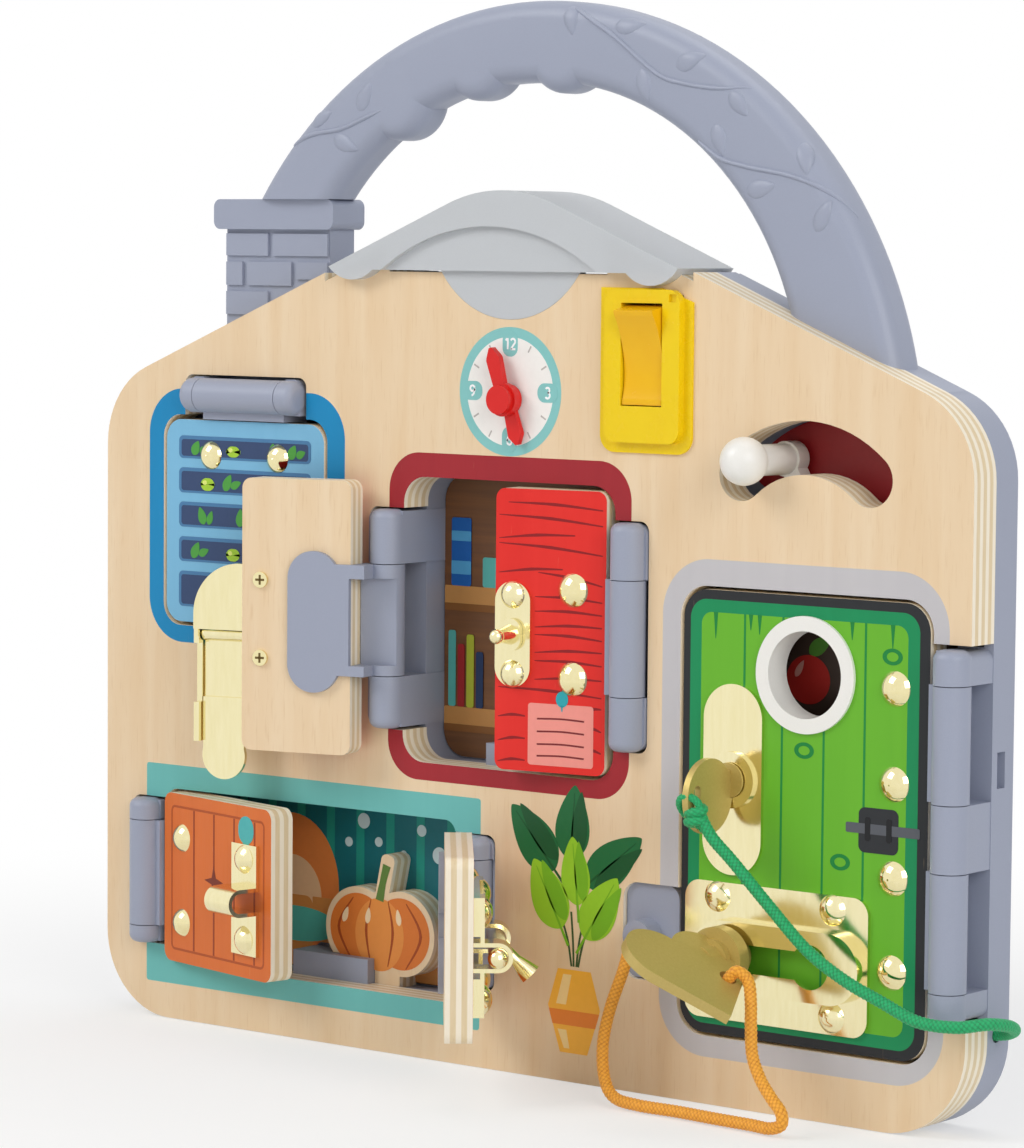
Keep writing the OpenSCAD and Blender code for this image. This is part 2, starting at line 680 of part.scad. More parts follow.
module clock_pin() {
  color([0.8, 0.8, 0.8]) on_board() {
    rod_y(clock_x, clock_z, -5.6, 16, 1.4);
    rod_y(clock_x, clock_z, ply_t, ply_t + 1.2, 4);
    rod_y(clock_x, clock_z, -0.6, 0, 3);
  }
}
module hinge_pins() {
  color([0.7, 0.7, 0.72]) on_board() {
    for (x = [win_axis_l, win_axis_r]) translate([x, hinge_y, win_k[0] + 1.6])
      cylinder(r = pin_r, h = win_k[3] - win_k[0] - 3.2);
    for (x = [cup_axis_l, cup_axis_r]) translate([x, hinge_y, cup_k[0] + 1.6])
      cylinder(r = pin_r, h = cup_k[3] - cup_k[0] - 3.2);
    translate([door_axis, hinge_y, door_k[0] + 1.6]) cylinder(r = pin_r, h = door_k[5] - door_k[0] - 3.2);
    top_pose() translate([0, 0, shut_k[0] + 1.6]) cylinder(r = pin_r, h = shut_k[3] - shut_k[0] - 3.2);
  }
}

// ---------- small moving pieces of the front ----------
rocker_tilt = 10;
module rocker() {
  color([0.95, 0.75, 0.12]) on_board() translate([switch_x, 0, switch_z]) {
    translate([-6.8, 0, 0]) rotate([rocker_tilt, 0, 0])
      rotate([90, 0, 90]) linear_extrude(13.6) difference() {
        polygon([[-5.2, -13.6], [-5.2, 13.6], [1.5, 13.9], [6, 8], [6, -8], [1.5, -13.9]]);
        translate([-33.5, 0]) circle(31);
      }
    translate([-9.4, 0, 0]) rotate([0, 90, 0]) cylinder(r = 1.6, h = 18.8);
  }
}
module hand(y, t, w, l, ang, hub) {
  translate([clock_x, 0, clock_z]) rotate([0, ang, 0]) difference() {
    slab(y, t) {
      circle(hub);
      polygon([[-0.36 * w, 0], [0.36 * w, 0], [w / 2, 0.78 * l], [w / 2 - 0.2, 0.82 * l], [0.5, l], [-0.5, l],
        [0.2 - w / 2, 0.82 * l], [-w / 2, 0.78 * l]]);
    }
    rod_y(0, 0, -10, 5, 1.4 + run_gap);
  }
}
module hour_hand() {
  color([0.86, 0.12, 0.12]) on_board() hand(-2.4, 1.7, 4.8, 13.6, 163.3, 4.4);
}
module minute_hand() {
  color([0.88, 0.12, 0.12]) on_board() {
    hand(-4.6, 2, 4.8, 15.6, -16.7, 4.9);
    difference() {
      rod_y(clock_x, clock_z, -6.6, -4.5, 4.2);
      rod_y(clock_x, clock_z, -5.9, 5, 1.4 + run_gap);
    }
  }
}
module heat_lever() {
  color([0.93, 0.93, 0.93]) on_board() translate([arc_x, 0, arc_z]) rotate([0, lever_rest, 0]) {
    difference() {
      slab(12.9, 5) {
        circle(4);
        rect2(-2.6, 2.6, 0, arc_r);
        translate([0, arc_r]) circle(5);
      }
      rod_y(0, 0, 10, 25, 2.5 + run_gap);
    }
    rod_y(0, arc_r, -5, 13, 4.4);
    translate([0, -7, arc_r]) sphere(6.8);
  }
}

// ---------- shutter ----------
shut_w0 = shut_op[0] + 1.3;
shut_w1 = shut_op[1] - 1.3;
module shutter_panel() {
  color([0.5, 0.73, 0.86]) on_board() top_pose() difference() {
    slab(face_v, door_t) rrect(edge_u, shut_u, shut_w0, shut_w1, 6);
    for (w = [-116.3, -89]) bore(18.6, w, 20);
  }
}
module shutter_leaf() {
  color([0.6, 0.63, 0.71]) on_board() top_pose() difference() {
    union() {
      moving_knuckle(shut_k[1], shut_k[2]);
      leaf_plate(30, -124, -80, shut_k[1], shut_k[2]);
    }
    for (w = [-116.3, -89]) bore(18.6, w, rivet_len);
  }
}
module shutter_rivets() {
  color([0.85, 0.75, 0.4]) on_board() top_pose() {
    rivet(18.6, -116.3, rivet_len);
    rivet(18.6, -89, rivet_len);
  }
}

// ---------- window, left door ----------
win_w0 = win_op[2] + 1.5;
win_w1 = win_op[3] - 1.5;
hasp_w = [118.5, 142];
hasp_screw_u = 37.7;
door_edge_u = win_u + 0.2;
module win_left() {
  on_board() left_pose(win_axis_l, window_left_open) children();
}
module window_left_door() {
  color([0.92, 0.84, 0.72]) win_left() difference() {
    slab(face_v, door_t) rrect(edge_u, win_u, win_w0, win_w1, 3);
    for (w = [118, 143.5]) bore(20.7, w, 20);
    for (w = hasp_w) bore(hasp_screw_u, w, 20);
  }
}
module window_left_leaf() {
  color([0.6, 0.63, 0.71]) win_left() difference() {
    union() {
      moving_knuckle(win_k[1], win_k[2]);
      leaf_plate(28, 109, 151.3, win_k[1], win_k[2]);
    }
    for (w = [118, 143.5]) bore(20.7, w, rivet_len);
    // the knuckle is hollow on its inner side
    translate([-4.4, pin_r + run_gap + 1.2, 117.5]) cube([12, 12, 26]);
  }
}
module window_left_screws() {
  color([0.85, 0.75, 0.4]) win_left() {
    for (w = [118, 143.5]) translate([20.7, face_v + rivet_len, w]) rotate([90, 0, 0])
      cylinder(r = shaft_r, h = rivet_len);
    for (w = hasp_w) {
      translate([hasp_screw_u, face_v + door_t, w]) rotate([90, 0, 0])
        cylinder(r = shaft_r, h = door_t + sheet_t);
      translate([hasp_screw_u, face_v + door_t + 0.9, w]) rotate([90, 0, 0]) cylinder(r = 2.4, h = 0.9);
    }
  }
}
hasp_u = 49.3;
hasp_r = 15.8;
hasp_top = 130;
hasp_pin_h = 3.8;
hasp_pin_w = 124;
hasp_half = 13.6;
module hasp_pin(r, u0, u1) {
  translate([u0, face_v - hasp_pin_h, hasp_pin_w]) rotate([0, 90, 0]) cylinder(r = r, h = u1 - u0);
}
module hasp_body() {
  color([0.88, 0.8, 0.5]) win_left() {
    difference() {
      slab(face_v - sheet_t, sheet_t) difference() {
        union() {
          rrect(31, 54, 110, 144, 5);
          translate([hasp_u, hasp_top]) circle(hasp_r);
          rect2(hasp_u - hasp_r, hasp_u + hasp_r, 125.4, hasp_top);
        }
        rect2(door_edge_u, 80, 90, 125.4);
      }
      for (w = hasp_w) bore(hasp_screw_u, w, 20);
    }
    // dome stamped in the plate
    translate([hasp_u, face_v, 127]) intersection() {
      translate([0, 8, 0]) sphere(15);
      translate([-20, -8, 0.5]) cube([40, 8, 20]);
    }
    // arch and bail round it, down to the lever's ears
    slab(face_v - 3.4, 3.4) difference() {
      union() {
        translate([hasp_u, hasp_top]) circle(hasp_r);
        rect2(hasp_u - hasp_r, hasp_u + hasp_r, 125.4, hasp_top);
      }
      translate([hasp_u, hasp_top]) circle(hasp_r - 1.6);
      rect2(hasp_u - hasp_r + 1.6, hasp_u + hasp_r - 1.6, 90, hasp_top);
      // room for the screw's end
      for (w = hasp_w) translate([hasp_screw_u, w]) circle(shaft_r + 0.3);
    }
    difference() {
      slab(face_v - 5.6, 5.2) {
        rect2(hasp_u + hasp_half + 0.4, hasp_u + hasp_r, 91, 127);
        rect2(hasp_u - hasp_r, hasp_u - hasp_half - 0.4, 121, 127);
      }
      slab(face_v - 2.6, 4) rect2(hasp_u, hasp_u + 20, 103, 121);
      hasp_pin(1.1, hasp_u - 20, hasp_u + 20);
    }
    hasp_pin(1.1, hasp_u - hasp_r, hasp_u + hasp_r);
  }
}
module hasp_lever() {
  color([0.88, 0.8, 0.5]) win_left() difference() {
    union() {
      hasp_pin(2.3, hasp_u - hasp_half, hasp_u + hasp_half);
      slab(face_v - hasp_pin_h - 1.3, 1.4) rect2(hasp_u - hasp_half, hasp_u + hasp_half, 104.2, hasp_pin_w);
      translate([hasp_u - hasp_half, face_v - hasp_pin_h - 1.3, 103.2]) cube([2 * hasp_half, 2.6, 1.4]);
      slab(face_v - hasp_pin_h - 0.1, 1.4) {
        rect2(hasp_u - 0.4, hasp_u + hasp_half, 86.8, 104);
        translate([hasp_u + hasp_half / 2 - 0.2, 86.8]) circle(hasp_half / 2 + 0.5);
      }
    }
    hasp_pin(1.1 + run_gap, hasp_u - 20, hasp_u + 20);
  }
}

// ---------- window, right door ----------
turn_u = 37.8;
turn_w = 130.2;
right_rivet_u = 18.6;
module win_right() {
  on_board() right_pose(win_axis_r, window_right_open) children();
}
module window_right_door() {
  color([0.88, 0.16, 0.12]) win_right() difference() {
    slab(face_v, door_t) rrect(edge_u, win_u, win_w0, win_w1, 3);
    for (w = [118, 143.7]) bore(right_rivet_u, w, 20);
    bore(turn_u, turn_w, 20);
  }
}
module window_right_leaf() {
  color([0.6, 0.63, 0.71]) win_right() difference() {
    union() {
      moving_knuckle(win_k[1], win_k[2]);
      leaf_plate(28, 109, 151.3, win_k[1], win_k[2]);
    }
    for (w = [118, 143.7]) bore(right_rivet_u, w, rivet_len);
  }
}
module window_right_rivets() {
  color([0.85, 0.75, 0.4]) win_right() {
    for (w = [118, 143.7]) rivet(right_rivet_u, w, rivet_len, wide_rivet_r);
  }
}
module turn_plate() {
  color([0.85, 0.75, 0.4]) win_right() {
    difference() {
      slab(face_v - sheet_t, sheet_t) rrect(turn_u - 5.8, turn_u + 5.8, turn_w - 15.3, turn_w + 15.3, 5.7);
      bore(turn_u, turn_w, 20);
    }
    for (w = [turn_w - 11.5, turn_w + 11.5]) translate([0, -sheet_t + 0.02, 0]) intersection() {
      rivet(turn_u, w, 0.5, 4);
      translate([turn_u - 9, face_v - 9, w - 9]) cube([18, 9, 18]);
    }
  }
}
module turn_button() {
  color([0.88, 0.8, 0.5]) win_right() translate([turn_u, face_v, turn_w]) rotate([90, 0, 0]) {
    translate([0, 0, -door_t - 1.2]) cylinder(r = shaft_r - run_gap, h = door_t + 4);
    translate([0, 0, -door_t - 1.3]) cylinder(r = 3, h = 1.2);
    translate([0, 0, sheet_t + 0.1]) linear_extrude(1.4) {
      translate([-2.6, -1.2]) square([5.2, 2.4]);
      for (z = [-1.2, 1.2]) translate([0, z]) circle(3.5);
    }
    translate([0, 0, sheet_t + 1]) cylinder(r1 = 3, r2 = 1.6, h = 7.6);
    translate([0, 0, sheet_t + 9.2]) sphere(2.2);
  }
}

// ---------- green door ----------
door_z0 = door_op[2] + 1;
door_z1 = door_op[3] - 1;
door_x0 = door_axis - door_u;
door_x1 = door_axis - edge_u;
green_riv = [44.5, 70.5, 96.5, 122.8];
green_riv_x = door_axis - 19;
port_x = 106.4;
port_z = 124.6;
port_r = 12.2;
chain_riv = [[78, 60], [117, 60], [117, 30], [78, 30]];
module through(x, z, r) {
  rod_y(x, z, -20, 30, r);
}
module green_door() {
  color([0.42, 0.71, 0.16]) on_board() difference() {
    slab(0, door_t) rrect(door_x0, door_x1, door_z0, door_z1, 8);
    through(port_x, port_z, port_r + 1.5);
    for (z = green_riv) through(green_riv_x, z, shaft_r);
    for (p = chain_riv) through(p[0], p[1], shaft_r);
    through(key_x, key_z, 5.4);
    for (z = [key_z - 20, key_z + 20]) through(key_x, z, shaft_r);
  }
}
module green_leaf() {
  color([0.6, 0.63, 0.71]) on_board() right_pose(door_axis, 0) difference() {
    union() {
      moving_knuckle(door_k[1], door_k[2]);
      moving_knuckle(door_k[3], door_k[4]);
      slab(face_v + door_t, leaf_t) {
        rect2(3, edge_u + 10, door_k[1], door_k[2]);
        rect2(3, edge_u + 10, door_k[3], door_k[4]);
        rrect(edge_u + 2, 30, 36, 130, 6);
      }
    }
    for (w = green_riv) bore(19, w, rivet_len);
  }
}
module green_rivets() {
  color([0.85, 0.75, 0.4]) on_board() right_pose(door_axis, 0) for (w = green_riv)
    rivet(19, w, rivet_len, wide_rivet_r);
}
module porthole_ring() {
  color([0.93, 0.93, 0.93]) on_board() difference() {
    union() {
      slab(-1, 1) translate([port_x, port_z]) circle(16.4);
      slab(-0.5, door_t + 0.5) translate([port_x, port_z]) circle(port_r + 1.5);
    }
    through(port_x, port_z, port_r);
  }
}
module key_plate() {
  color([0.88, 0.8, 0.5]) on_board() {
    difference() {
      union() {
        slab(-sheet_t, sheet_t) rrect(key_x - 10, key_x + 10, key_z - 27, key_z + 27, 9.9);
        for (z = [key_z - 20, key_z + 20]) rod_y(key_x, z, -0.5, door_t + 0.6, shaft_r);
        rod_y(key_x, key_z, -2.4, 0, 8);
        rod_y(key_x, key_z, -0.5, door_t + 1.5, 5.4);
      }
      rod_y(key_x, key_z, -5, 20, 3.4);
    }
  }
}
module door_key() {
  color([0.86, 0.77, 0.42]) on_board() translate([key_x, 0, key_z]) {
    rod_y(0, 0, -2.9, door_t + 1.5, 3.4 - run_gap);
    rod_y(0, 0, door_t + 1.6, door_t + 3, 7);
    rod_y(0, 0, -2.9, door_t + 3, 2);
    rod_y(0, 0, -3.4, -2.8, 5);
    difference() {
      translate([-1, 0, 0]) rotate([90, 0, 90]) linear_extrude(2) difference() {
        union() {
          translate([-13, -3.5]) circle(10.6);
          rect2(-14, -2.9, -3, 3);
        }
        rrect(-20.6, -17.6, -7, 0, 1.4);
      }
    }
  }
}
module chain_plate() {
  color([0.88, 0.8, 0.5]) on_board() {
    difference() {
      union() {
        slab(-sheet_t, sheet_t) rrect(66.8, 128.8, 25.2, 64.2, 5);
        slab(-5, 5) rrect(slot_e - slot_l + 34, slot_e + 16, slot_z - 10, slot_z + 10, 9.8);
        for (p = chain_riv) rod_y(p[0], p[1], -0.5, door_t + 0.8, shaft_r);
      }
      slab(-5 + sheet_t, 10) rrect(slot_e - slot_l + 35.2, slot_e + 14.8, slot_z - 8.8, slot_z + 8.8, 8.6);
      slab(-8, 20) {
        rect2(slot_e - slot_l + 38, slot_e, slot_z - slot_w / 2, slot_z + slot_w / 2);
        translate([slot_e, slot_z]) circle(6.3);
      }
    }
    for (p = chain_riv) translate([p[0], -sheet_t - face_v + 0.02, p[1]]) intersection() {
      rivet(0, 0, 0.5);
      translate([-9, face_v - 9, -9]) cube([18, 9, 18]);
    }
  }
}
heart_w = 40;
heart_h = 36;
heart_lobe = 11.5;
// turn of the heart in its own plane
heart_turn = -14;
// round knob behind the heart, and the boss on it
knob_r = 9;
boss_r = 5.7;
// middle of the heart plate, measured from the slot under its stem, and the cord's hole in it
heart_at = [5.8, -28, -1.3];
heart_hole = [8.7, -5];
module heart_2d() {
  cx = heart_w / 2 - heart_lobe;
  cz = heart_h / 2 - heart_lobe;
  d = norm([cx, cz + heart_h / 2]);
  // the straight sides touch the lobes
  lean = atan2(cx, cz + heart_h / 2) + asin(heart_lobe / d);
  tx = cx + heart_lobe * cos(lean);
  tz = cz - heart_lobe * sin(lean);
  for (s = [-1, 1]) translate([s * cx, cz]) circle(heart_lobe, $fn = 48);
  polygon([[0, cz + 5.5], [cx, cz], [tx, tz], [0, -heart_h / 2], [-tx, tz], [-cx, cz]]);
}
module heart_slider() {
  color([0.75, 0.66, 0.33]) on_board() translate([heart_x, 0, slot_z]) {
    // the plate holds the stem's line, as a key's bow does
    translate(heart_at) rotate([0, -heart_tilt, 0]) rotate([90, 0, 90])
      difference() {
        translate([0, 0, -heart_t / 2]) linear_extrude(heart_t)
          translate([-1, -1]) rotate(heart_turn) heart_2d();
        translate([heart_hole[0], heart_hole[1], -5]) cylinder(r = cord_r + 0.8, h = 10);
      }
    rod_y(0, 0, -18, -10, 4.3);
    rod_y(0, 0, -13, -10, boss_r);
    rod_y(0, 0, -11, -6.6, knob_r);
    rod_y(0, 0, -7, -2.9, slot_w / 2 - slot_gap);
    rod_y(0, 0, -3.4, -1.4, 6);
  }
}

// ---------- cupboard, left door ----------
cup_w0 = cup_op[2] + 0.9;
cup_w1 = cup_op[3] - 0.9;
bolt_w = 43.2;
module cup_left() {
  on_board() left_pose(cup_axis_l, cup_left_open) children();
}
module cup_right() {
  on_board() right_pose(cup_axis_r, cup_right_open) children();
}
module cup_door() {
  slab(face_v, door_t) rrect(edge_u + 0.7, cup_u, cup_w0, cup_w1, 3.5);
}
staple_u = 46.5;
staple_l = 13;
module cup_left_door() {
  color([0.86, 0.44, 0.17]) cup_left() difference() {
    cup_door();
    for (w = [31.5, 58]) bore(18, w, 20);
    for (w = [bolt_w - 12.4, bolt_w + 12.4]) bore(staple_u + staple_l / 2, w, 20);
  }
}
module cup_leaf() {
  difference() {
    union() {
      moving_knuckle(cup_k[1], cup_k[2]);
      leaf_plate(27, 25.5, 66, cup_k[1], cup_k[2]);
    }
    for (w = [31.5, 58]) bore(18, w, rivet_len);
  }
}
module cup_left_leaf() {
  color([0.6, 0.63, 0.71]) cup_left() cup_leaf();
}
module cup_left_rivets() {
  color([0.85, 0.75, 0.4]) cup_left() for (w = [31.5, 58]) rivet(18, w, rivet_len);
}
module strap_rivets(u, base) {
  for (w = [bolt_w - 12.4, bolt_w + 12.4]) {
    translate([0, -sheet_t - base + 0.02, 0]) intersection() {
      rivet(u, w, 0.5);
      translate([u - 9, face_v - 9, w - 9]) cube([18, 9, 18]);
    }
    translate([u, face_v + door_t, w]) rotate([90, 0, 0]) cylinder(r = shaft_r, h = door_t + base + 0.5);
  }
}
module staple() {
  color([0.88, 0.8, 0.5]) cup_left() {
    strap(staple_u, staple_u + staple_l, bolt_w - 17, bolt_w + 17, bolt_w, 0);
    strap_rivets(staple_u + staple_l / 2, 0);
  }
}

// ---------- cupboard, right door ----------
bolt_reach = cup_u - 2.2;
module cup_right_door() {
  color([0.86, 0.44, 0.17]) cup_right() difference() {
    cup_door();
    for (w = [31.5, 58]) bore(15.5, w, 20);
    for (u = [24.5, cup_u - 7]) for (w = [bolt_w - 12.4, bolt_w + 12.4]) bore(u, w, 20);
  }
}
module cup_right_leaf() {
  color([0.6, 0.63, 0.71]) cup_right() difference() {
    union() {
      moving_knuckle(cup_k[1], cup_k[2]);
      leaf_plate(21, 25.5, 66, cup_k[1], cup_k[2]);
    }
    for (w = [31.5, 58]) bore(15.5, w, rivet_len);
  }
}
module cup_right_rivets() {
  color([0.85, 0.75, 0.4]) cup_right() for (w = [31.5, 58]) rivet(15.5, w, rivet_len);
}
tray_t = 2;
module bolt_guide() {
  color([0.88, 0.8, 0.5]) cup_right() {
    for (u = [20.5, cup_u - 11]) {
      strap(u, u + 8, bolt_w - 17, bolt_w + 17, bolt_w, tray_t);
      strap_rivets(u + 4, tray_t);
    }
    for (w = [bolt_w - 17, bolt_w + 6]) translate([20.5, face_v - tray_t, w])
      cube([cup_u - 23.5, tray_t, 11]);
  }
}
module bolt() {
  color([0.9, 0.82, 0.52]) cup_right() translate([0, face_v - bolt_h, bolt_w]) {
    translate([10.5, 0, 0]) rotate([0, 90, 0]) cylinder(r = bolt_r, h = bolt_reach - 10.5);
    translate([bolt_reach, 0, 0]) sphere(bolt_r + 0.25);
    translate([31, 0, 0]) rotate([135, 0, 0]) {
      cylinder(r = 1.7, h = 11);
      translate([0, 0, 8]) cylinder(r1 = 1.7, r2 = 3.4, h = 6);
    }
  }
}

// ---------- cords ----------
module green_cord() {
  color([0.06, 0.65, 0.4]) on_board() tube(smooth(green_path, 2), cord_r);
}
module green_cord_end() {
  color([0.06, 0.65, 0.4]) on_board() tube(smooth(green_end_path, 2), cord_r);
}
module orange_cord() {
  color([0.95, 0.63, 0.17]) on_board() tube(smooth(orange_path, 2), cord_r);
}
module orange_cord_end() {
  color([0.95, 0.63, 0.17]) on_board() tube(smooth(orange_end_path, 2), cord_r);
}

front_panel();
housing();
back_cover();
cover_screws();
handle();
chimney();
lamp_cover();
lamp_lens();
led_board();
switch_plate();
switch_body();
battery_box();
battery_cells();
battery_contacts();
battery_cover();
picture_cards();
heat_card();
figure();
clock_pin();
hinge_pins();
rocker();
hour_hand();
minute_hand();
heat_lever();
shutter_panel();
shutter_leaf();
shutter_rivets();
window_left_door();
window_left_leaf();
window_left_screws();
hasp_body();
hasp_lever();
window_right_door();
window_right_leaf();
window_right_rivets();
turn_plate();
turn_button();
green_door();
green_leaf();
green_rivets();
porthole_ring();
key_plate();
door_key();
chain_plate();
heart_slider();
cup_left_door();
cup_left_leaf();
cup_left_rivets();
staple();
cup_right_door();
cup_right_leaf();
cup_right_rivets();
bolt_guide();
bolt();
green_cord();
green_cord_end();
orange_cord();
orange_cord_end();
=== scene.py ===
# %% [markdown]
# # A wooden busy board, finished in Blender
# The toy is a plywood house front screwed on a grey plastic housing. Its doors, latches, key
# and cords were made as exact solids beforehand. This lesson loads them as a frame and gives
# each one its finish, its prints and the soft pieces that exact solids cannot show.
# Everything is in metres in the frame; the sizes below are written in millimetres.

# %% The frame
import bpy
import math
import numpy as np
from mathutils import Matrix


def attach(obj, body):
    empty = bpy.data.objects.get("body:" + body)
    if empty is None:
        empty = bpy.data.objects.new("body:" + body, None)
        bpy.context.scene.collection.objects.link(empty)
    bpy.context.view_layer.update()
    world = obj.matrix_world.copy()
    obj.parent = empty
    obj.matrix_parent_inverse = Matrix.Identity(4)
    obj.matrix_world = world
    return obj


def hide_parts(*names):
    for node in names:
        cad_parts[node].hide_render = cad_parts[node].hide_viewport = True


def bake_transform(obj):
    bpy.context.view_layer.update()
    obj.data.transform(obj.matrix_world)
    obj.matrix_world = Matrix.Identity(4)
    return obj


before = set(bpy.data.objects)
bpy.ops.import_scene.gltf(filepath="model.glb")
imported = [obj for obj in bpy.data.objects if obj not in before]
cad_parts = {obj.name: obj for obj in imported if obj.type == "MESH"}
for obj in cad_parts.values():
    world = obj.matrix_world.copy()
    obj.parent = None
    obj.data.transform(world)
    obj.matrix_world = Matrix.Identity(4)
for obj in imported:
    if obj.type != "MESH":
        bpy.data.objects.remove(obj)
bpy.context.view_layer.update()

# %% [markdown]
# ## Camera
# The picture is 1024 wide and 1148 high. The camera stands a good metre away, to the right of
# the board and a little above its middle. Its three axes come from two turns (round the upright
# and up or down) and a very small roll, so they can be written as plain products.

# %% Camera
YAW, PITCH, ROLL = 0.668072, 0.0774169, 0.00816786
CAMERA_PLACE = (773.381, -977.176, 243.556)
FOCAL_PIXELS, PICTURE_HEIGHT, SENSOR = 4281.42, 1148, 36.0
BOARD_MIDDLE = 11.5     # the plywood's face lies this far in front of the frame's middle, mm


def to_frame(x, y, z):
    """Board millimetres to frame metres: y is measured from the plywood's face."""
    return np.stack(np.broadcast_arrays(x, np.asarray(y) - BOARD_MIDDLE, z), -1) * 0.001


def put(name, data):
    """An object for that data, linked to the scene."""
    thing = bpy.data.objects.new(name, data)
    bpy.context.scene.collection.objects.link(thing)
    return thing


def axes_matrix(right, up, back, place):
    """Columns: the directions of the object's x, y and z axes, then its place."""
    matrix = np.eye(4)
    matrix[:3] = np.stack([right, up, back, place], -1)
    return Matrix(matrix.tolist())


def camera_matrix():
    """Right and up follow from yaw and pitch, and then turn about the view by the roll."""
    right = np.array([math.cos(YAW), math.sin(YAW), 0.0])
    level = math.cos(PITCH)
    ahead = np.array([-math.sin(YAW) * level, math.cos(YAW) * level, -math.sin(PITCH)])
    up = np.cross(right, ahead)
    cosine, sine = math.cos(ROLL), math.sin(ROLL)
    return axes_matrix(cosine * right + sine * up, cosine * up - sine * right, -ahead,
                       to_frame(*CAMERA_PLACE))


camera = put("camera", bpy.data.cameras.new("camera"))
camera.matrix_world = camera_matrix()
camera.data.sensor_width = SENSOR
camera.data.lens = FOCAL_PIXELS * SENSOR / PICTURE_HEIGHT
camera.data.clip_start, camera.data.clip_end = 0.05, 30.0
bpy.context.scene.camera = camera
print("lens", round(camera.data.lens, 2), "mm")

# %% [markdown]
# ## From millimetres on the board to the frame
# Drawings are easiest on flat faces, so each face gets a function that turns flat
# coordinates (a, b) and a height towards the viewer into a point of the frame. A door's
# face turns about its hinge axis, which lies 1.2 mm in front of the plywood.

# %% Faces to draw on
HINGE_Y = -1.2
DOOR_FRONT, DOOR_BACK = 1.2, 9.2       # a door's two faces, measured from its hinge axis
DOORS = {  # the hinge axis in mm, the degrees that it stands open, and 1 or -1 for its side
    "window_left": (-44.0, 166, 1), "window_right": (45.5, 9, -1),
    "cupboard_left": (-142.1, 13, 1), "cupboard_right": (-9.7, 129.5, -1)}


def flat_face(y=0.0):
    """A face parallel to the board at depth y; height goes towards the viewer."""
    return lambda a, b, h: to_frame(a, y - h, b)


def door_face(door, inside=False):
    """A swung door: u runs from the hinge, v through the door, both turned by the angle."""
    axis_x, angle, side = DOORS[door]
    cosine, sine = math.cos(math.radians(angle)), math.sin(math.radians(angle))

    def place(u, w, h):
        v = DOOR_BACK + h if inside else DOOR_FRONT - h
        return to_frame(axis_x + side * (u * cosine + v * sine),
                        HINGE_Y - u * sine + v * cosine, w)
    return place


board = flat_face()
window_left_in = door_face("window_left", inside=True)
red_face = door_face("window_right")
orange_face = door_face("cupboard_left")
print("window door's free edge", window_left_in(44.1, 130.0, 0.0).round(4))

# %% [markdown]
# ## Surfaces from rings
# Nearly every piece here is a skin over a row of rings, each with the same number of points:
# a print is two flat rings, a leaf is a few rings that shrink as they rise, a cord is a circle
# carried along a path. One function lays quads between the rings and closes the ends.

# %% Skins
def skin(rings, ends="fans"):
    """Quads join ring k to ring k+1. Fans close both ends at their mean point; loop joins last to
    first. Six times the volume is the sum of p0 . (p1 x p2) over the triangles, and where that is
    negative every face is turned over, so that faces point outwards."""
    rings = np.asarray(rings, float)
    m, n = rings.shape[:2]
    k, side = np.arange(m if ends == "loop" else m - 1)[:, None], np.arange(n)
    here, there, after = k * n, ((k + 1) % m) * n, (side + 1) % n
    quads = np.stack([here + side, here + after, there + after, there + side], -1).reshape(-1, 4)
    points, fans = rings.reshape(-1, 3), np.empty((0, 3), int)
    if ends == "fans":
        points = np.vstack([points, rings[0].mean(0), rings[-1].mean(0)])
        first, last = np.full(n, m * n), (m - 1) * n
        fans = np.vstack([np.stack([first, after, side], -1),
                          np.stack([first + 1, last + side, last + after], -1)])
    corners = (points - points.mean(0))[np.vstack([quads[:, :3], quads[:, [0, 2, 3]], fans])]
    volume = np.einsum("ij,ij->", corners[:, 0], np.cross(corners[:, 1], corners[:, 2]))
    faces = quads.tolist() + fans.tolist()
    return points, [face[::-1] for face in faces] if volume < 0 else faces


def add_piece(name, skins, material, body):
    """Several skins become one mesh, which gets its finish. It rides on a body, or where body is a
    tuple (body a, body b, start, end) its place is baked into the mesh and it rides on none."""
    points, faces, start = [], [], 0
    for p, f in skins:
        points.append(p)
        faces += [[i + start for i in face] for face in f]
        start += len(p)
    mesh = bpy.data.meshes.new(name)
    mesh.from_pydata(np.vstack(points).tolist(), [], faces)
    mesh.materials.append(material)
    piece = put(name, mesh)
    smooth_by_angle(piece)
    if isinstance(body, tuple):
        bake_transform(piece)
    else:
        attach(piece, body)
    return piece


# %% [markdown]
# ## Soft shading that keeps its corners
# The exact solids come as loose triangles. A small geometry node group merges their corners and
# shades every edge smooth that bends by less than 32 degrees, so a round looks round and a corner
# stays a corner, without touching the mesh itself.

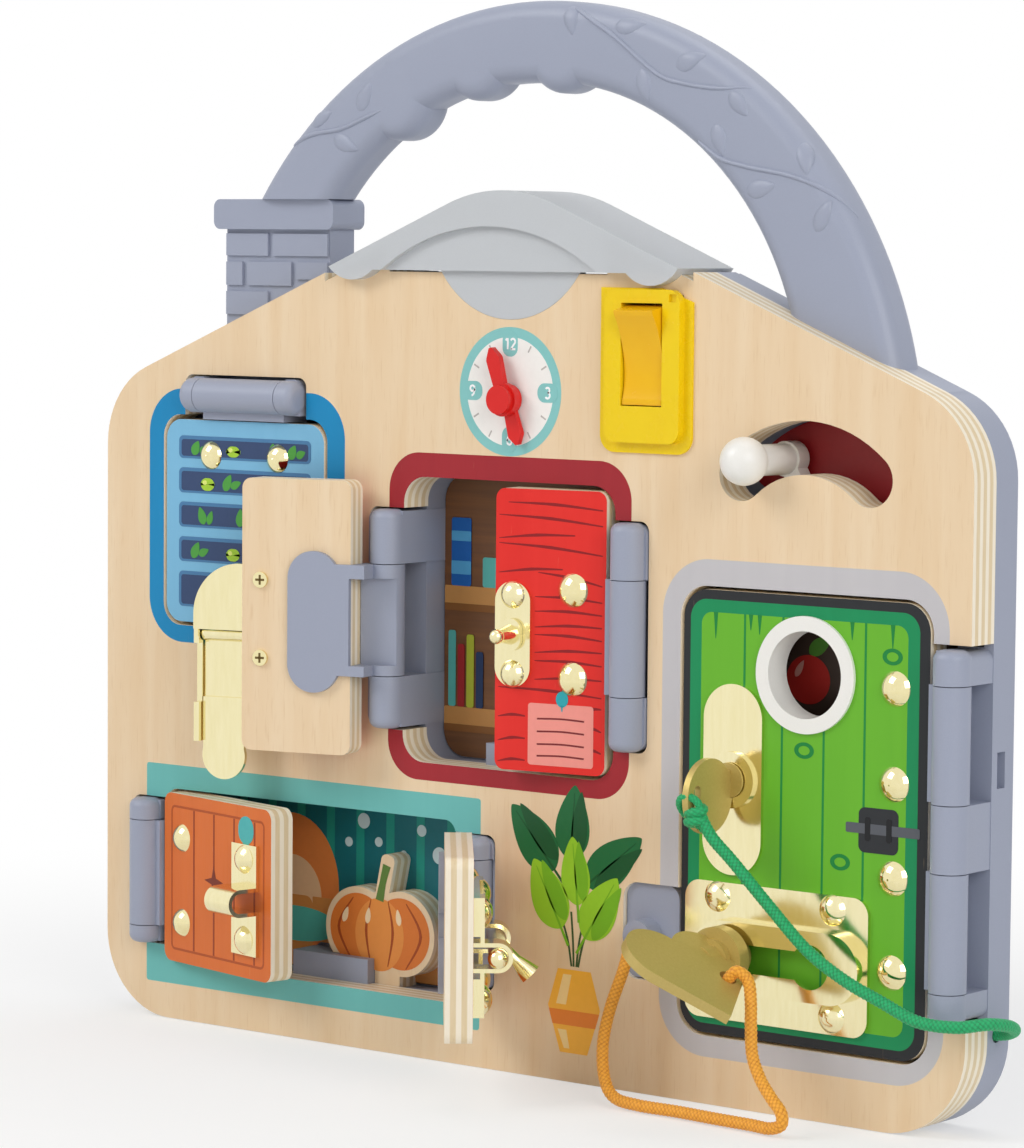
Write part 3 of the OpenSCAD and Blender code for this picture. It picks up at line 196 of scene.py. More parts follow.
# %% Smooth by angle
def smoothing_group(degrees=32.0):
    """Merge by distance, then set shade smooth on edges by their angle, then on all faces."""
    group = bpy.data.node_groups.new("smooth by angle", "GeometryNodeTree")
    for way in ("INPUT", "OUTPUT"):
        group.interface.new_socket("Geometry", in_out=way, socket_type="NodeSocketGeometry")
    start, merge, angle, small, edges, faces, end = (group.nodes.new(kind) for kind in (
        "NodeGroupInput", "GeometryNodeMergeByDistance", "GeometryNodeInputMeshEdgeAngle",
        "FunctionNodeCompare", "GeometryNodeSetShadeSmooth", "GeometryNodeSetShadeSmooth",
        "NodeGroupOutput"))
    merge.inputs["Distance"].default_value = 1e-6
    small.operation = "LESS_THAN"
    small.inputs["B"].default_value = math.radians(degrees)
    edges.domain, faces.domain = "EDGE", "FACE"
    for a, b in ((start.outputs[0], merge.inputs["Geometry"]),
                 (merge.outputs[0], edges.inputs["Geometry"]),
                 (angle.outputs["Unsigned Angle"], small.inputs["A"]),
                 (small.outputs[0], edges.inputs["Shade Smooth"]),
                 (edges.outputs[0], faces.inputs["Geometry"]),
                 (faces.outputs[0], end.inputs[0])):
        group.links.new(a, b)
    return group


SMOOTHING = smoothing_group()


def smooth_by_angle(piece):
    """Adds the shared group as a modifier."""
    piece.modifiers.new("smooth by angle", "NODES").node_group = SMOOTHING


print("smoothing nodes", len(SMOOTHING.nodes))

# %% [markdown]
# ## Finishes
# Each finish starts from what the real one is: lacquered birch plywood, screen ink, moulded ABS,
# brass-plated steel, cast zinc, braided polyester. Colours are written as sRGB hex values and one
# function turns them linear. One small function adds a node with its settings and links.

# %% Colour and node helpers
MAIN_SETTING = {"Math": "operation", "VectorMath": "operation", "Mix": "data_type",
                "MapRange": "interpolation_type", "Attribute": "attribute_name"}


def hex_colour(text):
    """Linear = c / 12.92 below 0.04045, else ((c + 0.055) / 1.055) ^ 2.4; alpha is one."""
    c = np.array([int(text[i:i + 2], 16) / 255 for i in (1, 3, 5)])
    return (*np.where(c <= 0.04045, c / 12.92, ((c + 0.055) / 1.055) ** 2.4), 1.0)


def fill(tree, node, *values, **named):
    """Values go to the node's live sockets in order, named ones by name with _ for a space. A value
    is a number, a hex colour, another node's socket, or a node: then its first live output."""
    live = [socket for socket in node.inputs if socket.enabled]
    chosen = [node.inputs[name.replace("_", " ")] for name in named]
    for socket, value in [*zip(live, values), *zip(chosen, named.values())]:
        if isinstance(value, str):
            value = hex_colour(value)
        if isinstance(value, bpy.types.Node):
            value = next(out for out in value.outputs if out.enabled)
        if isinstance(value, bpy.types.NodeSocket):
            tree.links.new(value, socket)
        else:
            socket.default_value = value
    return node


def add(tree, words, *values, **named):
    """A filled node: the first word is its kind, a second one its main setting."""
    kind, _, word = words.partition(" ")
    node = tree.nodes.new("ShaderNode" + kind)
    if word:
        setattr(node, MAIN_SETTING[kind], word)
    return fill(tree, node, *values, **named)


def new_finish(name):
    """An empty node tree with a Principled shader wired to the output."""
    material = bpy.data.materials.new(name)
    material.use_nodes = True
    tree = material.node_tree
    tree.nodes.clear()
    shader = add(tree, "BsdfPrincipled")
    add(tree, "OutputMaterial", shader)
    return material, tree, shader


def grain(tree, size_mm):
    """Noise whose cells are size_mm long on each axis: scale 1000 / size on metres."""
    sized = add(tree, "Mapping", add(tree, "TexCoord").outputs["Object"],
                Scale=tuple(1000.0 / s for s in np.broadcast_to(size_mm, 3)))
    return add(tree, "TexNoise", sized, Scale=1.0, Detail=3.0, Roughness=0.6)


def moulded(name, hex_a, hex_b, size_mm, roughness, bump_mm, **fixed):
    """Colour wanders between two near values with the grain; the same grain lifts the surface."""
    material, tree, shader = new_finish(name)
    noise = grain(tree, size_mm)
    fill(tree, shader, **fixed,
         Base_Color=add(tree, "Mix RGBA", noise, hex_a, hex_b),
         Roughness=add(tree, "MapRange", noise, 0.3, 0.7, *roughness),
         Normal=add(tree, "Bump", Strength=0.35, Distance=bump_mm * 0.001, Height=noise))
    return material


# %% [markdown]
# ### Moulded plastics
# The housing, hinges and handle are injection-moulded ABS with a fine spark-eroded grain of about
# 0.3 mm, which gives a satin sheen. The switch and the hands are polished ABS, whose colour only
# drifts a little over 6 mm. The lamp cover is frosted polycarbonate, which passes some light and
# blurs it.

# %% Plastics
FLAT_GLOSS = {"Specular_IOR_Level": 0.3}         # a soft highlight that leaves the colour deep
grey_abs = moulded("ABS grey blue satin", "#9EA4B6", "#979DB0", 0.35, (0.38, 0.5), 0.02)
yellow_abs = moulded("ABS yellow polished", "#F3D214", "#EFCA0E", 6.0, (0.24, 0.3), 0.002,
                     **FLAT_GLOSS)
amber_abs = moulded("ABS amber polished", "#F3BE10", "#EFB50C", 6.0, (0.22, 0.28), 0.002,
                    **FLAT_GLOSS)
red_abs = moulded("ABS red polished", "#DC201B", "#D41A17", 6.0, (0.28, 0.32), 0.002,
                  Specular_IOR_Level=0.35)
white_abs = moulded("ABS white satin", "#F3F1EC", "#ECEAE4", 0.5, (0.3, 0.4), 0.01)
black_abs = moulded("ABS black satin", "#2B2C30", "#242528", 0.4, (0.4, 0.5), 0.02)
frosted = moulded("polycarbonate frosted", "#DADDE0", "#D2D6DA", 0.4, (0.42, 0.52), 0.02,
                  Transmission_Weight=0.25, IOR=1.58)
print("plastics", grey_abs.name, frosted.name)

# %% [markdown]
# ### Metals
# The latches are steel sheet, stamped and brass plated; the rolled sheet keeps fine scratches along
# its length. They are conductors, so metallic is one and the colour is the tint of the reflection.
# The heart and the key are cast zinc under a dull olive gold coat, so they are half metallic.

# %% Metals
brass = moulded("steel brass plated", "#F5ECC2", "#EDE1AC", (1.5, 1.5, 12.0), (0.12, 0.18), 0.003,
                Metallic=1.0)
brass_dome = moulded("steel rivet brass plated", "#F3E9BC", "#EADDA4", 1.5, (0.06, 0.1), 0.002,
                     Metallic=1.0)
olive_zinc = moulded("zinc cast olive gold", "#C6B06A", "#BBA45C", 0.7, (0.42, 0.52), 0.015,
                     Metallic=0.45)
steel = moulded("steel bright drawn", "#C9CBCE", "#BDBFC3", (0.5, 0.5, 4.0), (0.22, 0.32), 0.01,
                Metallic=1.0)
print("metals", brass.name, olive_zinc.name)


# %% [markdown]
# ### Plywood
# Birch plywood is thin veneers glued crosswise. Its face shows long faint figure that runs upright,
# its cut edge shows pale and tan lines. The depth through the board decides which is seen: near the
# two faces it is face veneer, in between it steps through the plies, each a fixed fraction of the
# thickness. Prints are ink on the face, so a mask near the front face carries them.

# %% Plywood
FILM_DEPTH = 0.00003        # how far behind the face a point still counts as printed, metres
FACE_FROM = 0.497           # the face starts this far from the middle, in thicknesses


def rounded_mask(tree, point, x0, x1, z0, z1, r):
    """1 in a rounded box in mm: the length of max(|p - c| - (half - r), 0) is under r."""
    away = add(tree, "VectorMath SUBTRACT", point, ((x0 + x1) / 2000, 0.0, (z0 + z1) / 2000))
    past = add(tree, "VectorMath SUBTRACT", add(tree, "VectorMath ABSOLUTE", away),
               ((x1 - x0) / 2000 - r / 1000, 10.0, (z1 - z0) / 2000 - r / 1000))
    outer = add(tree, "VectorMath MAXIMUM", past, (0.0, 0.0, 0.0))
    return add(tree, "Math LESS_THAN", add(tree, "VectorMath LENGTH", outer), r / 1000)


def plywood(name, turn=0.0, axis=(0.0, 0.0), front=0.0, thick=8.0, plies=5, inks=()):
    """Veneer figure on the faces, plies on the edge, then the inks, each a rounded box and two
    near colours. Turn and axis lay the finish in a swung door's own plane."""
    material, tree, shader = new_finish(name)
    centred = add(tree, "VectorMath SUBTRACT", add(tree, "TexCoord").outputs["Object"],
                  (axis[0] / 1000, (axis[1] - BOARD_MIDDLE) / 1000, 0.0))
    local = add(tree, "Mapping", centred, Rotation=(0.0, 0.0, math.radians(turn)))
    across = add(tree, "SeparateXYZ", local).outputs[1]
    depth = add(tree, "Math SUBTRACT", across, front / 1000)
    inwards = add(tree, "Math DIVIDE", depth, thick / 1000)
    # face figure: cells 7 mm wide and 90 mm long, with finer pores 0.6 by 9 mm
    wide = add(tree, "Mapping", local, Scale=(140.0, 140.0, 11.0))
    figure = add(tree, "TexNoise", wide, Scale=1.0, Detail=3.0, Distortion=0.6)
    fine = add(tree, "Mapping", local, Scale=(1600.0, 1600.0, 110.0))
    pores = add(tree, "TexNoise", fine, Scale=1.0, Detail=2.0)
    veneer = add(tree, "Mix RGBA", figure, "#F0DBBC", "#E3C297")
    pored = add(tree, "MapRange", pores, 0.58, 0.74, 0.0, 0.35)
    face = add(tree, "Mix RGBA", pored, veneer, "#D6B283")
    # plies: the sine of pi times depth times their number, odd ones darker end grain
    swing = add(tree, "Math SINE", add(tree, "Math MULTIPLY", inwards, plies * math.pi))
    steps = add(tree, "MapRange SMOOTHSTEP", swing, -0.25, 0.35, 0.0, 1.0)
    pale = add(tree, "Mix RGBA", pores, "#FBF2E2", "#F3E6CD")
    tan = add(tree, "Mix RGBA", pores, "#EAD8B6", "#DCC49A")
    edge = add(tree, "Mix RGBA", steps, tan, pale)
    off_centre = add(tree, "Math ABSOLUTE", add(tree, "Math SUBTRACT", inwards, 0.5))
    at_face = add(tree, "Math GREATER_THAN", off_centre, FACE_FROM)
    colour = add(tree, "Mix RGBA", at_face, edge, face)
    # inks: where the box and the front face meet, a little thinner over the pores
    printed = add(tree, "Math LESS_THAN", depth, FILM_DEPTH)
    worn = add(tree, "MapRange", pores, 0.72, 0.8, 1.0, 0.82)
    for box, tones in inks:
        inside = add(tree, "Math MULTIPLY", rounded_mask(tree, local, *box), printed)
        tone = add(tree, "Mix RGBA", figure, *tones)
        colour = add(tree, "Mix RGBA", add(tree, "Math MULTIPLY", inside, worn), colour, tone)
    fill(tree, shader, Base_Color=colour, **FLAT_GLOSS,
         Roughness=add(tree, "MapRange", pores, 0.3, 0.7, 0.36, 0.5),
         Normal=add(tree, "Bump", Strength=0.25, Distance=0.00006, Height=pores))
    return material


BLUE, CRIMSON, TEAL = ("#128BC1", "#0F82B7"), ("#A5262E", "#98202A"), ("#70BDB8", "#68B5B0")
PALE_GREY, ORANGE, RED = ("#C8C5C7", "#C0BDC0"), ("#E07530", "#D4692A"), ("#E8322A", "#DB251F")
SKY, INK_BLACK = ("#82BEDF", "#78B5D8"), ("#26282B", "#1E2023")
DARK_GREEN, GRASS = ("#128F58", "#0D8550"), ("#6CB82D", "#64AF29")
front_ply = plywood("birch plywood front", thick=11.3, plies=7, inks=(
    ((-142.0, -62.0, 118.7, 197.5, 14.0), BLUE), ((-44.5, 45.5, 83.7, 181.2, 11.5), CRIMSON),
    ((-143.0, -8.7, 11.0, 80.0, 1.0), TEAL), ((57.0, 153.0, 13.5, 155.0, 16.0), PALE_GREY)))
print("front plywood nodes", len(front_ply.node_tree.nodes))

# %% [markdown]
# ### Doors and shutter
# The doors are 8 mm plywood of five plies. Their fronts are printed all over, so each gets the
# same plywood finish turned into the door's own plane, with its inks as nested rounded boxes.

# %% Door plywood
ALL_OVER = (-200.0, 200.0, 0.0, 250.0, 1.0)


def swung_plywood(name, door, tones):
    """Door plywood, printed all over its front, in the plane of a door that stands open."""
    axis_x, angle, side = DOORS[door]
    return plywood("birch plywood " + name, side * angle, (axis_x, HINGE_Y), DOOR_FRONT,
                   inks=((ALL_OVER, tones),))


door_ply = {
    "window_left_door": swung_plywood("left window door", "window_left", RED),
    "window_right_door": swung_plywood("red door", "window_right", RED),
    "cup_left_door": swung_plywood("orange door left", "cupboard_left", ORANGE),
    "cup_right_door": swung_plywood("orange door right", "cupboard_right", ORANGE),
    "green_door": plywood("birch plywood green door", inks=(
        ((0.0, 200.0, 0.0, 200.0, 1.0), INK_BLACK), ((66.8, 143.6, 23.2, 143.8, 5.5), DARK_GREEN),
        ((70.6, 139.8, 26.8, 140.2, 3.5), GRASS))),
    "shutter_panel": plywood("birch plywood shutter", inks=((ALL_OVER, SKY),)),
    "figure": plywood("birch plywood figure", axis=(0.0, 11.5)),
}
print("door finishes", len(door_ply))

# %% [markdown]
# ### Every exact solid gets its finish
# A dictionary of finish to node names is the plainest record of what is made of what.

# %% Give the nodes their finishes
FINISH_OF = {
    grey_abs: "housing back_cover handle chimney battery_cover shutter_leaf window_left_leaf "
              "window_right_leaf green_leaf cup_left_leaf cup_right_leaf",
    frosted: "lamp_cover lamp_lens",
    yellow_abs: "switch_plate switch_body",
    amber_abs: "rocker",
    red_abs: "hour_hand minute_hand",
    white_abs: "porthole_ring heat_lever",
    black_abs: "battery_box",
    brass: "hasp_body hasp_lever turn_plate key_plate chain_plate staple bolt_guide bolt "
           "turn_button",
    brass_dome: "shutter_rivets window_right_rivets green_rivets cup_left_rivets cup_right_rivets "
                "window_left_screws",
    olive_zinc: "door_key heart_slider",
    steel: "cover_screws hinge_pins clock_pin battery_contacts",
    front_ply: "front_panel",
    moulded("printed card brown", "#4F2F1A", "#8A5A30", (60.0, 60.0, 2.5), (0.5, 0.6), 0.01):
        "picture_cards",
    moulded("printed card red", "#A81F24", "#9B1A20", 2.0, (0.4, 0.5), 0.01): "heat_card",
    moulded("circuit board green", "#2C6B45", "#24603D", 1.0, (0.35, 0.45), 0.01): "led_board",
    moulded("battery foil blue", "#2F5C9C", "#284F8A", 3.0, (0.25, 0.35), 0.01): "battery_cells",
}
FINISH_OF.update({material: node for node, material in door_ply.items()})
for material, names in FINISH_OF.items():
    for node in names.split():
        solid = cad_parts[node]
        solid.data.materials.clear()
        solid.data.materials.append(material)
        smooth_by_angle(solid)
bare = [n for n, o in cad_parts.items() if not o.data.materials and "cord" not in n]
print("nodes without a finish:", bare)

# %% [markdown]
# ## Cords
# Two braided polyester cords, 3.6 mm thick: a green one from the housing's side to the key and an
# orange one from the anchor post down to the floor and up to the heart. Each is a fixed length of
# limp cord. Its path is a smooth curve through chosen points, and the braid is real geometry:
# strands run both ways round the cord and pass over and under each other in diamonds. The height
# of the strands is also kept as an attribute, so that the gaps between them get painted shade.

# %% Cord paths
CORD_RADIUS = 1.8
GREEN_PATH = [(152.8, 16, 28), (158, 16, 28), (163.5, 15.5, 28.8), (168.5, 11.5, 31),
              (170.8, 4, 33.5), (169.2, -4, 34.8), (163, -9.5, 34), (152, -11.5, 34.5),
              (141, -12, 38.5)]
GREEN_END = [(129, -13, 43.5), (117, -13.5, 50.5), (105, -14.5, 61.5), (94.5, -17, 73),
             (89, -19.4, 79.5), (85.8, -20.4, 85)]
ORANGE_PATH = [(52, -1.6, 46), (52, -6, 45.8), (53, -12, 37), (51, -15, 27), (50, -17, 17),
               (52, -19, 8), (57, -21, 3), (66, -22, 2), (80, -22, 2), (94, -23, 2),
               (106, -23.5, 2), (113, -24.5, 2.1), (117.2, -25, 3.8), (117, -25, 7.2),
               (113.6, -24.5, 10.4)]
ORANGE_END = [(109, -23.4, 15), (105.2, -22, 21), (103.2, -20, 28.5), (101.8, -18.2, 35),
              (100.4, -17.6, 40.6), (97.3, -18.8, 43), (94.3, -19.3, 40), (93.3, -19.1, 38.5)]
print("path points", len(GREEN_PATH + GREEN_END), "and", len(ORANGE_PATH + ORANGE_END))


def smooth_path(points, steps):
    """Catmull-Rom between b and c, with a and d before and after them:
    half of (2b + (c-a)t + (2a-5b+4c-d)t^2 + (3b-a-3c+d)t^3)."""
    p = np.array(points, float)
    a, b, c, d = (np.vstack([p[:1], p[:-2]]), p[:-1], p[1:], np.vstack([p[2:], p[-1:]]))
    t = (np.arange(steps) / steps)[:, None, None]
    curve = 0.5 * (2 * b + (c - a) * t + (2 * a - 5 * b + 4 * c - d) * t ** 2
                   + (3 * b - a - 3 * c + d) * t ** 3)
    return np.vstack([curve.transpose(1, 0, 2).reshape(-1, p.shape[1]), p[-1:]])


def evenly(path, step):
    """The same line with points every step along its length, and the length run so far."""
    run = np.concatenate([[0], np.cumsum(np.linalg.norm(np.diff(path, axis=0), axis=1))])
    at = np.linspace(0, run[-1], int(run[-1] / step) + 1)
    return np.stack([np.interp(at, run, path[:, i]) for i in range(3)], -1), at


def unit(vectors):
    """Each vector divided by its length."""
    return vectors / np.linalg.norm(vectors, axis=-1, keepdims=True)


def carried_frames(path):
    """Two unit vectors across the path; each step drops the part along the new tangent."""
    tangent, side = unit(np.gradient(path, axis=0)), np.zeros_like(path)
    side[0] = unit(np.cross(tangent[0], [0.31, 0.52, 0.79]))
    for k in range(1, len(path)):
        side[k] = unit(side[k - 1] - tangent[k] * np.dot(side[k - 1], tangent[k]))
    return side, np.cross(tangent, side)


# %% Braided surfaces
def braid(path, radius, around=30, step=0.25, strands=6, pitch=8.0, lift=0.14):
    """Strand angles p, q = strands/2 (angle +- 2 pi run / pitch). In each diamond one strand is on
    top: height = |sin p| |sin q|^0.4 where sin p sin q > 0, otherwise the two change places.
    Radius = R (1 - lift + lift height)."""
    line, run = evenly(path, step)
    side, other = carried_frames(line)
    angle = np.linspace(0, 2 * np.pi, around, endpoint=False)[None, :]
    turn = 2 * np.pi * run[:, None] / pitch
    p, q = np.sin(strands / 2 * (angle + turn)), np.sin(strands / 2 * (angle - turn))
    over, under = np.where(p * q > 0, np.abs((p, q)), np.abs((q, p)))
    height = over * under ** 0.4
    r = (radius * (1 - lift + lift * height))[..., None]
    rings = line[:, None, :] + r * (np.cos(angle)[..., None] * side[:, None, :]
                                    + np.sin(angle)[..., None] * other[:, None, :])
    return to_frame(rings[..., 0], rings[..., 1], rings[..., 2]), height, line, run


def keep_height(piece, heights):
    """Stores the strand height of every point; the two end points of each skin get a half."""
    values = np.concatenate([np.append(h.ravel(), (0.5, 0.5)) for h in heights])
    strand = piece.data.attributes.new("strand", "FLOAT", "POINT")
    strand.data.foreach_set("value", values.astype(np.float32))


def braided(name, dark, light):
    """Polyester yarn: painted shade darkens the gaps and the strand tops stay lighter, with a fine
    fibre noise.
    """
    material, tree, shader = new_finish(name)
    noise = grain(tree, 0.35)
    # painted shade: the strand height mixes the dark colour into the gaps and the light one onto
    # the strand tops
    gap_shading = add(tree, "MapRange", add(tree, "Attribute strand").outputs["Fac"], 0.1, 0.75, 0, 0.85)
    mixed = add(tree, "Math MULTIPLY_ADD", noise, 0.3, gap_shading)
    fill(tree, shader, Sheen_Weight=0.15,
         Base_Color=add(tree, "Mix RGBA", mixed, dark, light),
         Roughness=add(tree, "MapRange", noise, 0.3, 0.7, 0.55, 0.7),
         Normal=add(tree, "Bump", Strength=0.3, Distance=0.00005, Height=noise))
    return material


# %% Lay the cords
PATH_STEPS, MARK_EVERY = 12, 12       # points between two chosen ones; rings between two marks


def lay_cord(name, near, far, material, bends, nodes):
    """One braid in two pieces that share the ring nearest to the join; each hides the CAD node that
    it stands for."""
    rings, height, line, run = braid(smooth_path(near + far, PATH_STEPS), CORD_RADIUS)
    join = int(np.argmin(np.linalg.norm(line - np.array(near[-1], float), axis=1)))
    places = to_frame(*line.T)
    for part, rows, bend, node in (("", slice(0, join + 1), bends[0], nodes[0]),
                                   ("_end", slice(join, None), bends[1], nodes[1])):
        piece = add_piece(name + part, [skin(rings[rows])], material, bend)
        keep_height(piece, [height[rows]])
        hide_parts(node)


# Where a cord crosses a joint two bodies and two points are listed, though nothing here bends it:
# the green one at the door's hinge and at the key, the orange one along the floor and at the heart.
green_braid = braided("polyester braid green", "#057A45", "#12AD68")
orange_braid = braided("polyester braid orange", "#CF7C14", "#FBB238")
at_hinge = ("board", "door", to_frame(153, -11.5, 34.3), to_frame(141, -12, 38.5))
at_key = ("door", "key", to_frame(94.5, -17, 73), to_frame(87, -20.2, 82.5))
on_floor = ("board", "door", to_frame(60, -21, 2), to_frame(112, -24.5, 8))
at_heart = ("door", "slider", to_frame(109, -23.4, 15), to_frame(101.8, -18.2, 35))
lay_cord("cord_green", GREEN_PATH, GREEN_END, green_braid, (at_hinge, at_key),
         ("green_cord", "green_cord_end"))
lay_cord("cord_orange", ORANGE_PATH, ORANGE_END, orange_braid, (on_floor, at_heart),
         ("orange_cord", "orange_cord_end"))

# %% [markdown]
# ## Flat drawings: outlines, films and lines
# Every print is a thin ink film with a real edge. An outline is a ring of points, and a film is
# that outline at two heights. A band has a hole, and a line is a flat strip along a smooth path.
# Where inks lie over each other, each further coat reaches a little higher.

# %% Outlines
def turned(x, y, cx, cz, turn):
    """Turned by an angle in degrees and moved to (cx, cz)."""
    c, s = math.cos(math.radians(turn)), math.sin(math.radians(turn))
    return np.stack([cx + c * x - s * y, cz + s * x + c * y], -1)


def box(x0, x1, z0, z1, r):
    """Four quarter circles of radius r, joined by straights."""
    t = np.linspace(0, np.pi / 2, 12)
    corners = ((x1 - r, z1 - r), (x0 + r, z1 - r), (x0 + r, z0 + r), (x1 - r, z0 + r))
    return np.vstack([turned(r * np.cos(t), r * np.sin(t), *corner, 90 * k)
                      for k, corner in enumerate(corners)])


def oval(cx, cz, a, b=None, n=48):
    """(cx + a cos t, cz + b sin t), where b is a for a circle."""
    t = np.linspace(0, 2 * np.pi, n, endpoint=False)
    return np.stack([cx + a * np.cos(t), cz + (b or a) * np.sin(t)], -1)


def leaf(cx, cz, length, width, turn=0.0):
    """x = L/2 cos t; y = W/2 sin t (1 - 0.35 cos t) |sin t|^0.35: two points and a fuller foot."""
    t = np.linspace(0, 2 * np.pi, 48, endpoint=False)
    y = width / 2 * np.sin(t) * (1 - 0.35 * np.cos(t)) * np.abs(np.sin(t)) ** 0.35
    return turned(length / 2 * np.cos(t), y, cx, cz, turn)


def straight(points, n=8):
    """A polygon with n points on each side, so that it can be skinned as a ring."""
    p, t = np.array(points, float), (np.arange(n) / n)[:, None]
    return np.vstack([a + (b - a) * t for a, b in zip(p, np.roll(p, -1, 0))])


def arc(cx, cz, r, start, end, n=9, stretch=1.0):
    """Points on part of an oval."""
    t = np.radians(np.linspace(start, end, n))
    return list(zip(cx + r * np.cos(t), cz + stretch * r * np.sin(t)))


def flat_line(points, steps):
    """A smooth flat line and, square to it, its unit vectors: (x, z) along gives (-z, x) across."""
    middle = smooth_path(points, steps)
    along = unit(np.gradient(middle, axis=0))
    return middle, np.stack([-along[:, 1], along[:, 0]], -1)


def line(points, width, steps=6):
    """The two sides of a smooth line; several widths are spread along it."""
    middle, across = flat_line(points, steps)
    at, given = np.linspace(0, 1, len(middle)), np.linspace(0, 1, np.size(width))
    half = across * np.interp(at, given, np.atleast_1d(width))[:, None] / 2
    return "line", middle + half, middle - half


print("points round a box", len(box(0, 1, 0, 1, 0.2)), "and a leaf", len(leaf(0, 0, 2, 1)))

# %% Films of ink
INK_LOW, INK_HIGH, COAT = 0.01, 0.05, 0.04      # a film above its face, and each coat more, mm
INKS = {}


def film(shape, face, coat):
    """An outline is skinned between two heights. A band (hole and outline) and a line (its sides)
    have four edges, low, low, high, high: the rings of a loop, or the corners of every ring."""
    high = INK_HIGH + COAT * coat
    if isinstance(shape, np.ndarray):
        return skin([face(*shape.T, h) for h in (INK_LOW, high)])
    kind, a, b = shape
    edges = [face(*side.T, h) for side, h in ((a, INK_LOW), (b, INK_LOW), (b, high), (a, high))]
    return skin(edges, "loop") if kind == "band" else skin(np.stack(edges, 1))


def ink(colour):
    """Screen ink: the colour and one 3.5 per cent darker in spots of 2 mm, which lift it a bit."""
    if colour not in INKS:
        darker = "#" + "".join(f"{int(int(colour[i:i + 2], 16) * 0.965):02X}" for i in (1, 3, 5))
        INKS[colour] = moulded("screen ink " + colour[1:], colour, darker, 2.0, (0.4, 0.5), 0.006,
                               **FLAT_GLOSS)
    return INKS[colour]


def prints(face, body, *rows):
    """Each row is a print: its name, its ink and how many coats lie under it, then its shapes."""
    for name, colour, coat, *shapes in rows:
        add_piece("print_" + name, [film(shape, face, coat) for shape in shapes], ink(colour), body)
    print("prints on", body + ":", *[row[0] for row in rows])


# %% [markdown]
# ## The clock
# A printed dial: a teal ring, a white face, four tabs with the hours and a tick for each other
# hour. Numbers on a dial are plain strokes, so each is a few lines.

# %% Clock dial
DIAL_X, DIAL_Z, DIAL_R, WHITE_R = 1.0, 200.1, 18.8, 15.9
TICK_R, DIGIT_R = (13.3, 14.3, 15.4), 13.9
TAB = box(-2.8, 2.8, 10.2, 17.6, 2.6)
DIGIT_HALF, DIGIT_STEP = 1.6, 2.1     # half a digit's height, and from one digit to the next
STROKES = {  # in a box that reaches one up and one down from its middle
    "1": [[(-0.35, 0.6), (0.1, 1), (0.1, -1)]],
    "2": [arc(0, 0.45, 0.5, 160, -35) + [(-0.5, -0.95)], [(-0.5, -0.95), (0.55, -0.95)]],
    "3": [arc(0, 0.5, 0.46, 150, -90), arc(0, -0.46, 0.52, 90, -150)],
    "6": [arc(0, -0.42, 0.5, 190, 530, 17), arc(0.35, -0.42, 0.86, 180, 100, 7, 1.6)],
    "9": [arc(0, 0.42, 0.5, 10, 350, 17), arc(-0.35, 0.42, 0.86, 0, -80, 7, 1.6)]}


def on_dial(hour, radius):
    """Point at that hour: x = r sin, z = r cos of 30 degrees an hour."""
    a = math.radians(30 * hour)
    return DIAL_X + radius * math.sin(a), DIAL_Z + radius * math.cos(a)


digits = []
for digit, hour, shift in (("1", 0, -0.5), ("2", 0, 0.5), ("3", 3, 0), ("6", 6, 0), ("9", 9, 0)):
    middle = np.add(on_dial(hour, DIGIT_R), (shift * DIGIT_STEP, 0))
    digits += [line(np.multiply(s, DIGIT_HALF) + middle, 0.6, 2) for s in STROKES[digit]]
prints(
    board, "board",
    ("dial_ring", "#88C9C6", 0, oval(DIAL_X, DIAL_Z, DIAL_R, n=96)),
    ("dial_face", "#F7F5F0", 1, oval(DIAL_X, DIAL_Z, WHITE_R, n=96)),
    ("dial_tabs", "#88C9C6", 2, *[turned(*TAB.T, DIAL_X, DIAL_Z, -30 * h) for h in (0, 3, 6, 9)]),
    ("dial_ticks", "#BDB7B2", 2, *[line([on_dial(h, r) for r in TICK_R], 0.5, 1)
     for h in (1, 2, 4, 5, 7, 8, 10, 11)]),
    ("dial_digits", "#FFFFFF", 3, *digits))

# %% [markdown]
# ## The potted plant
# A simple house plant: six pointed leaves on thin stalks in a bellied orange pot. Each leaf is one
# outline with a darker half and a darker vein laid over it.

# %% Plant print
LEAVES = (  # the dark leaves, then the light ones: middle, length, width, turn
    ((11.0, 70.5, 24.0, 13.0, 132), (40.5, 66.0, 25.0, 12.0, 38), (25.5, 76.0, 22.0, 12.0, 86)),
    ((16.5, 54.5, 22.0, 12.5, 118), (36.0, 52.0, 22.0, 12.0, 58), (26.5, 62.0, 20.0, 10.0, 96)))
LEAF_INKS = (("#1F6B3C", "#17552F"), ("#96CC30", "#78B628"))
for k, (rows, (whole, darker)) in enumerate(zip(LEAVES, LEAF_INKS)):
    shades = []
    for x, z, length, width, turn in rows:
        half = turned(0, -0.21 * width, x, z, turn)
        vein = turned(np.multiply(length, (-0.75, 0, 0.4)), 0, x, z, turn)
        shades += [leaf(*half, 0.86 * length, 0.46 * width, turn), line(vein, (0.9, 0.5, 0.2))]
    prints(board, "board",
           (f"plant_leaves_{k}", whole, 2 * k, *[leaf(*row) for row in rows]),
           (f"plant_shades_{k}", darker, 2 * k + 1, *shades))
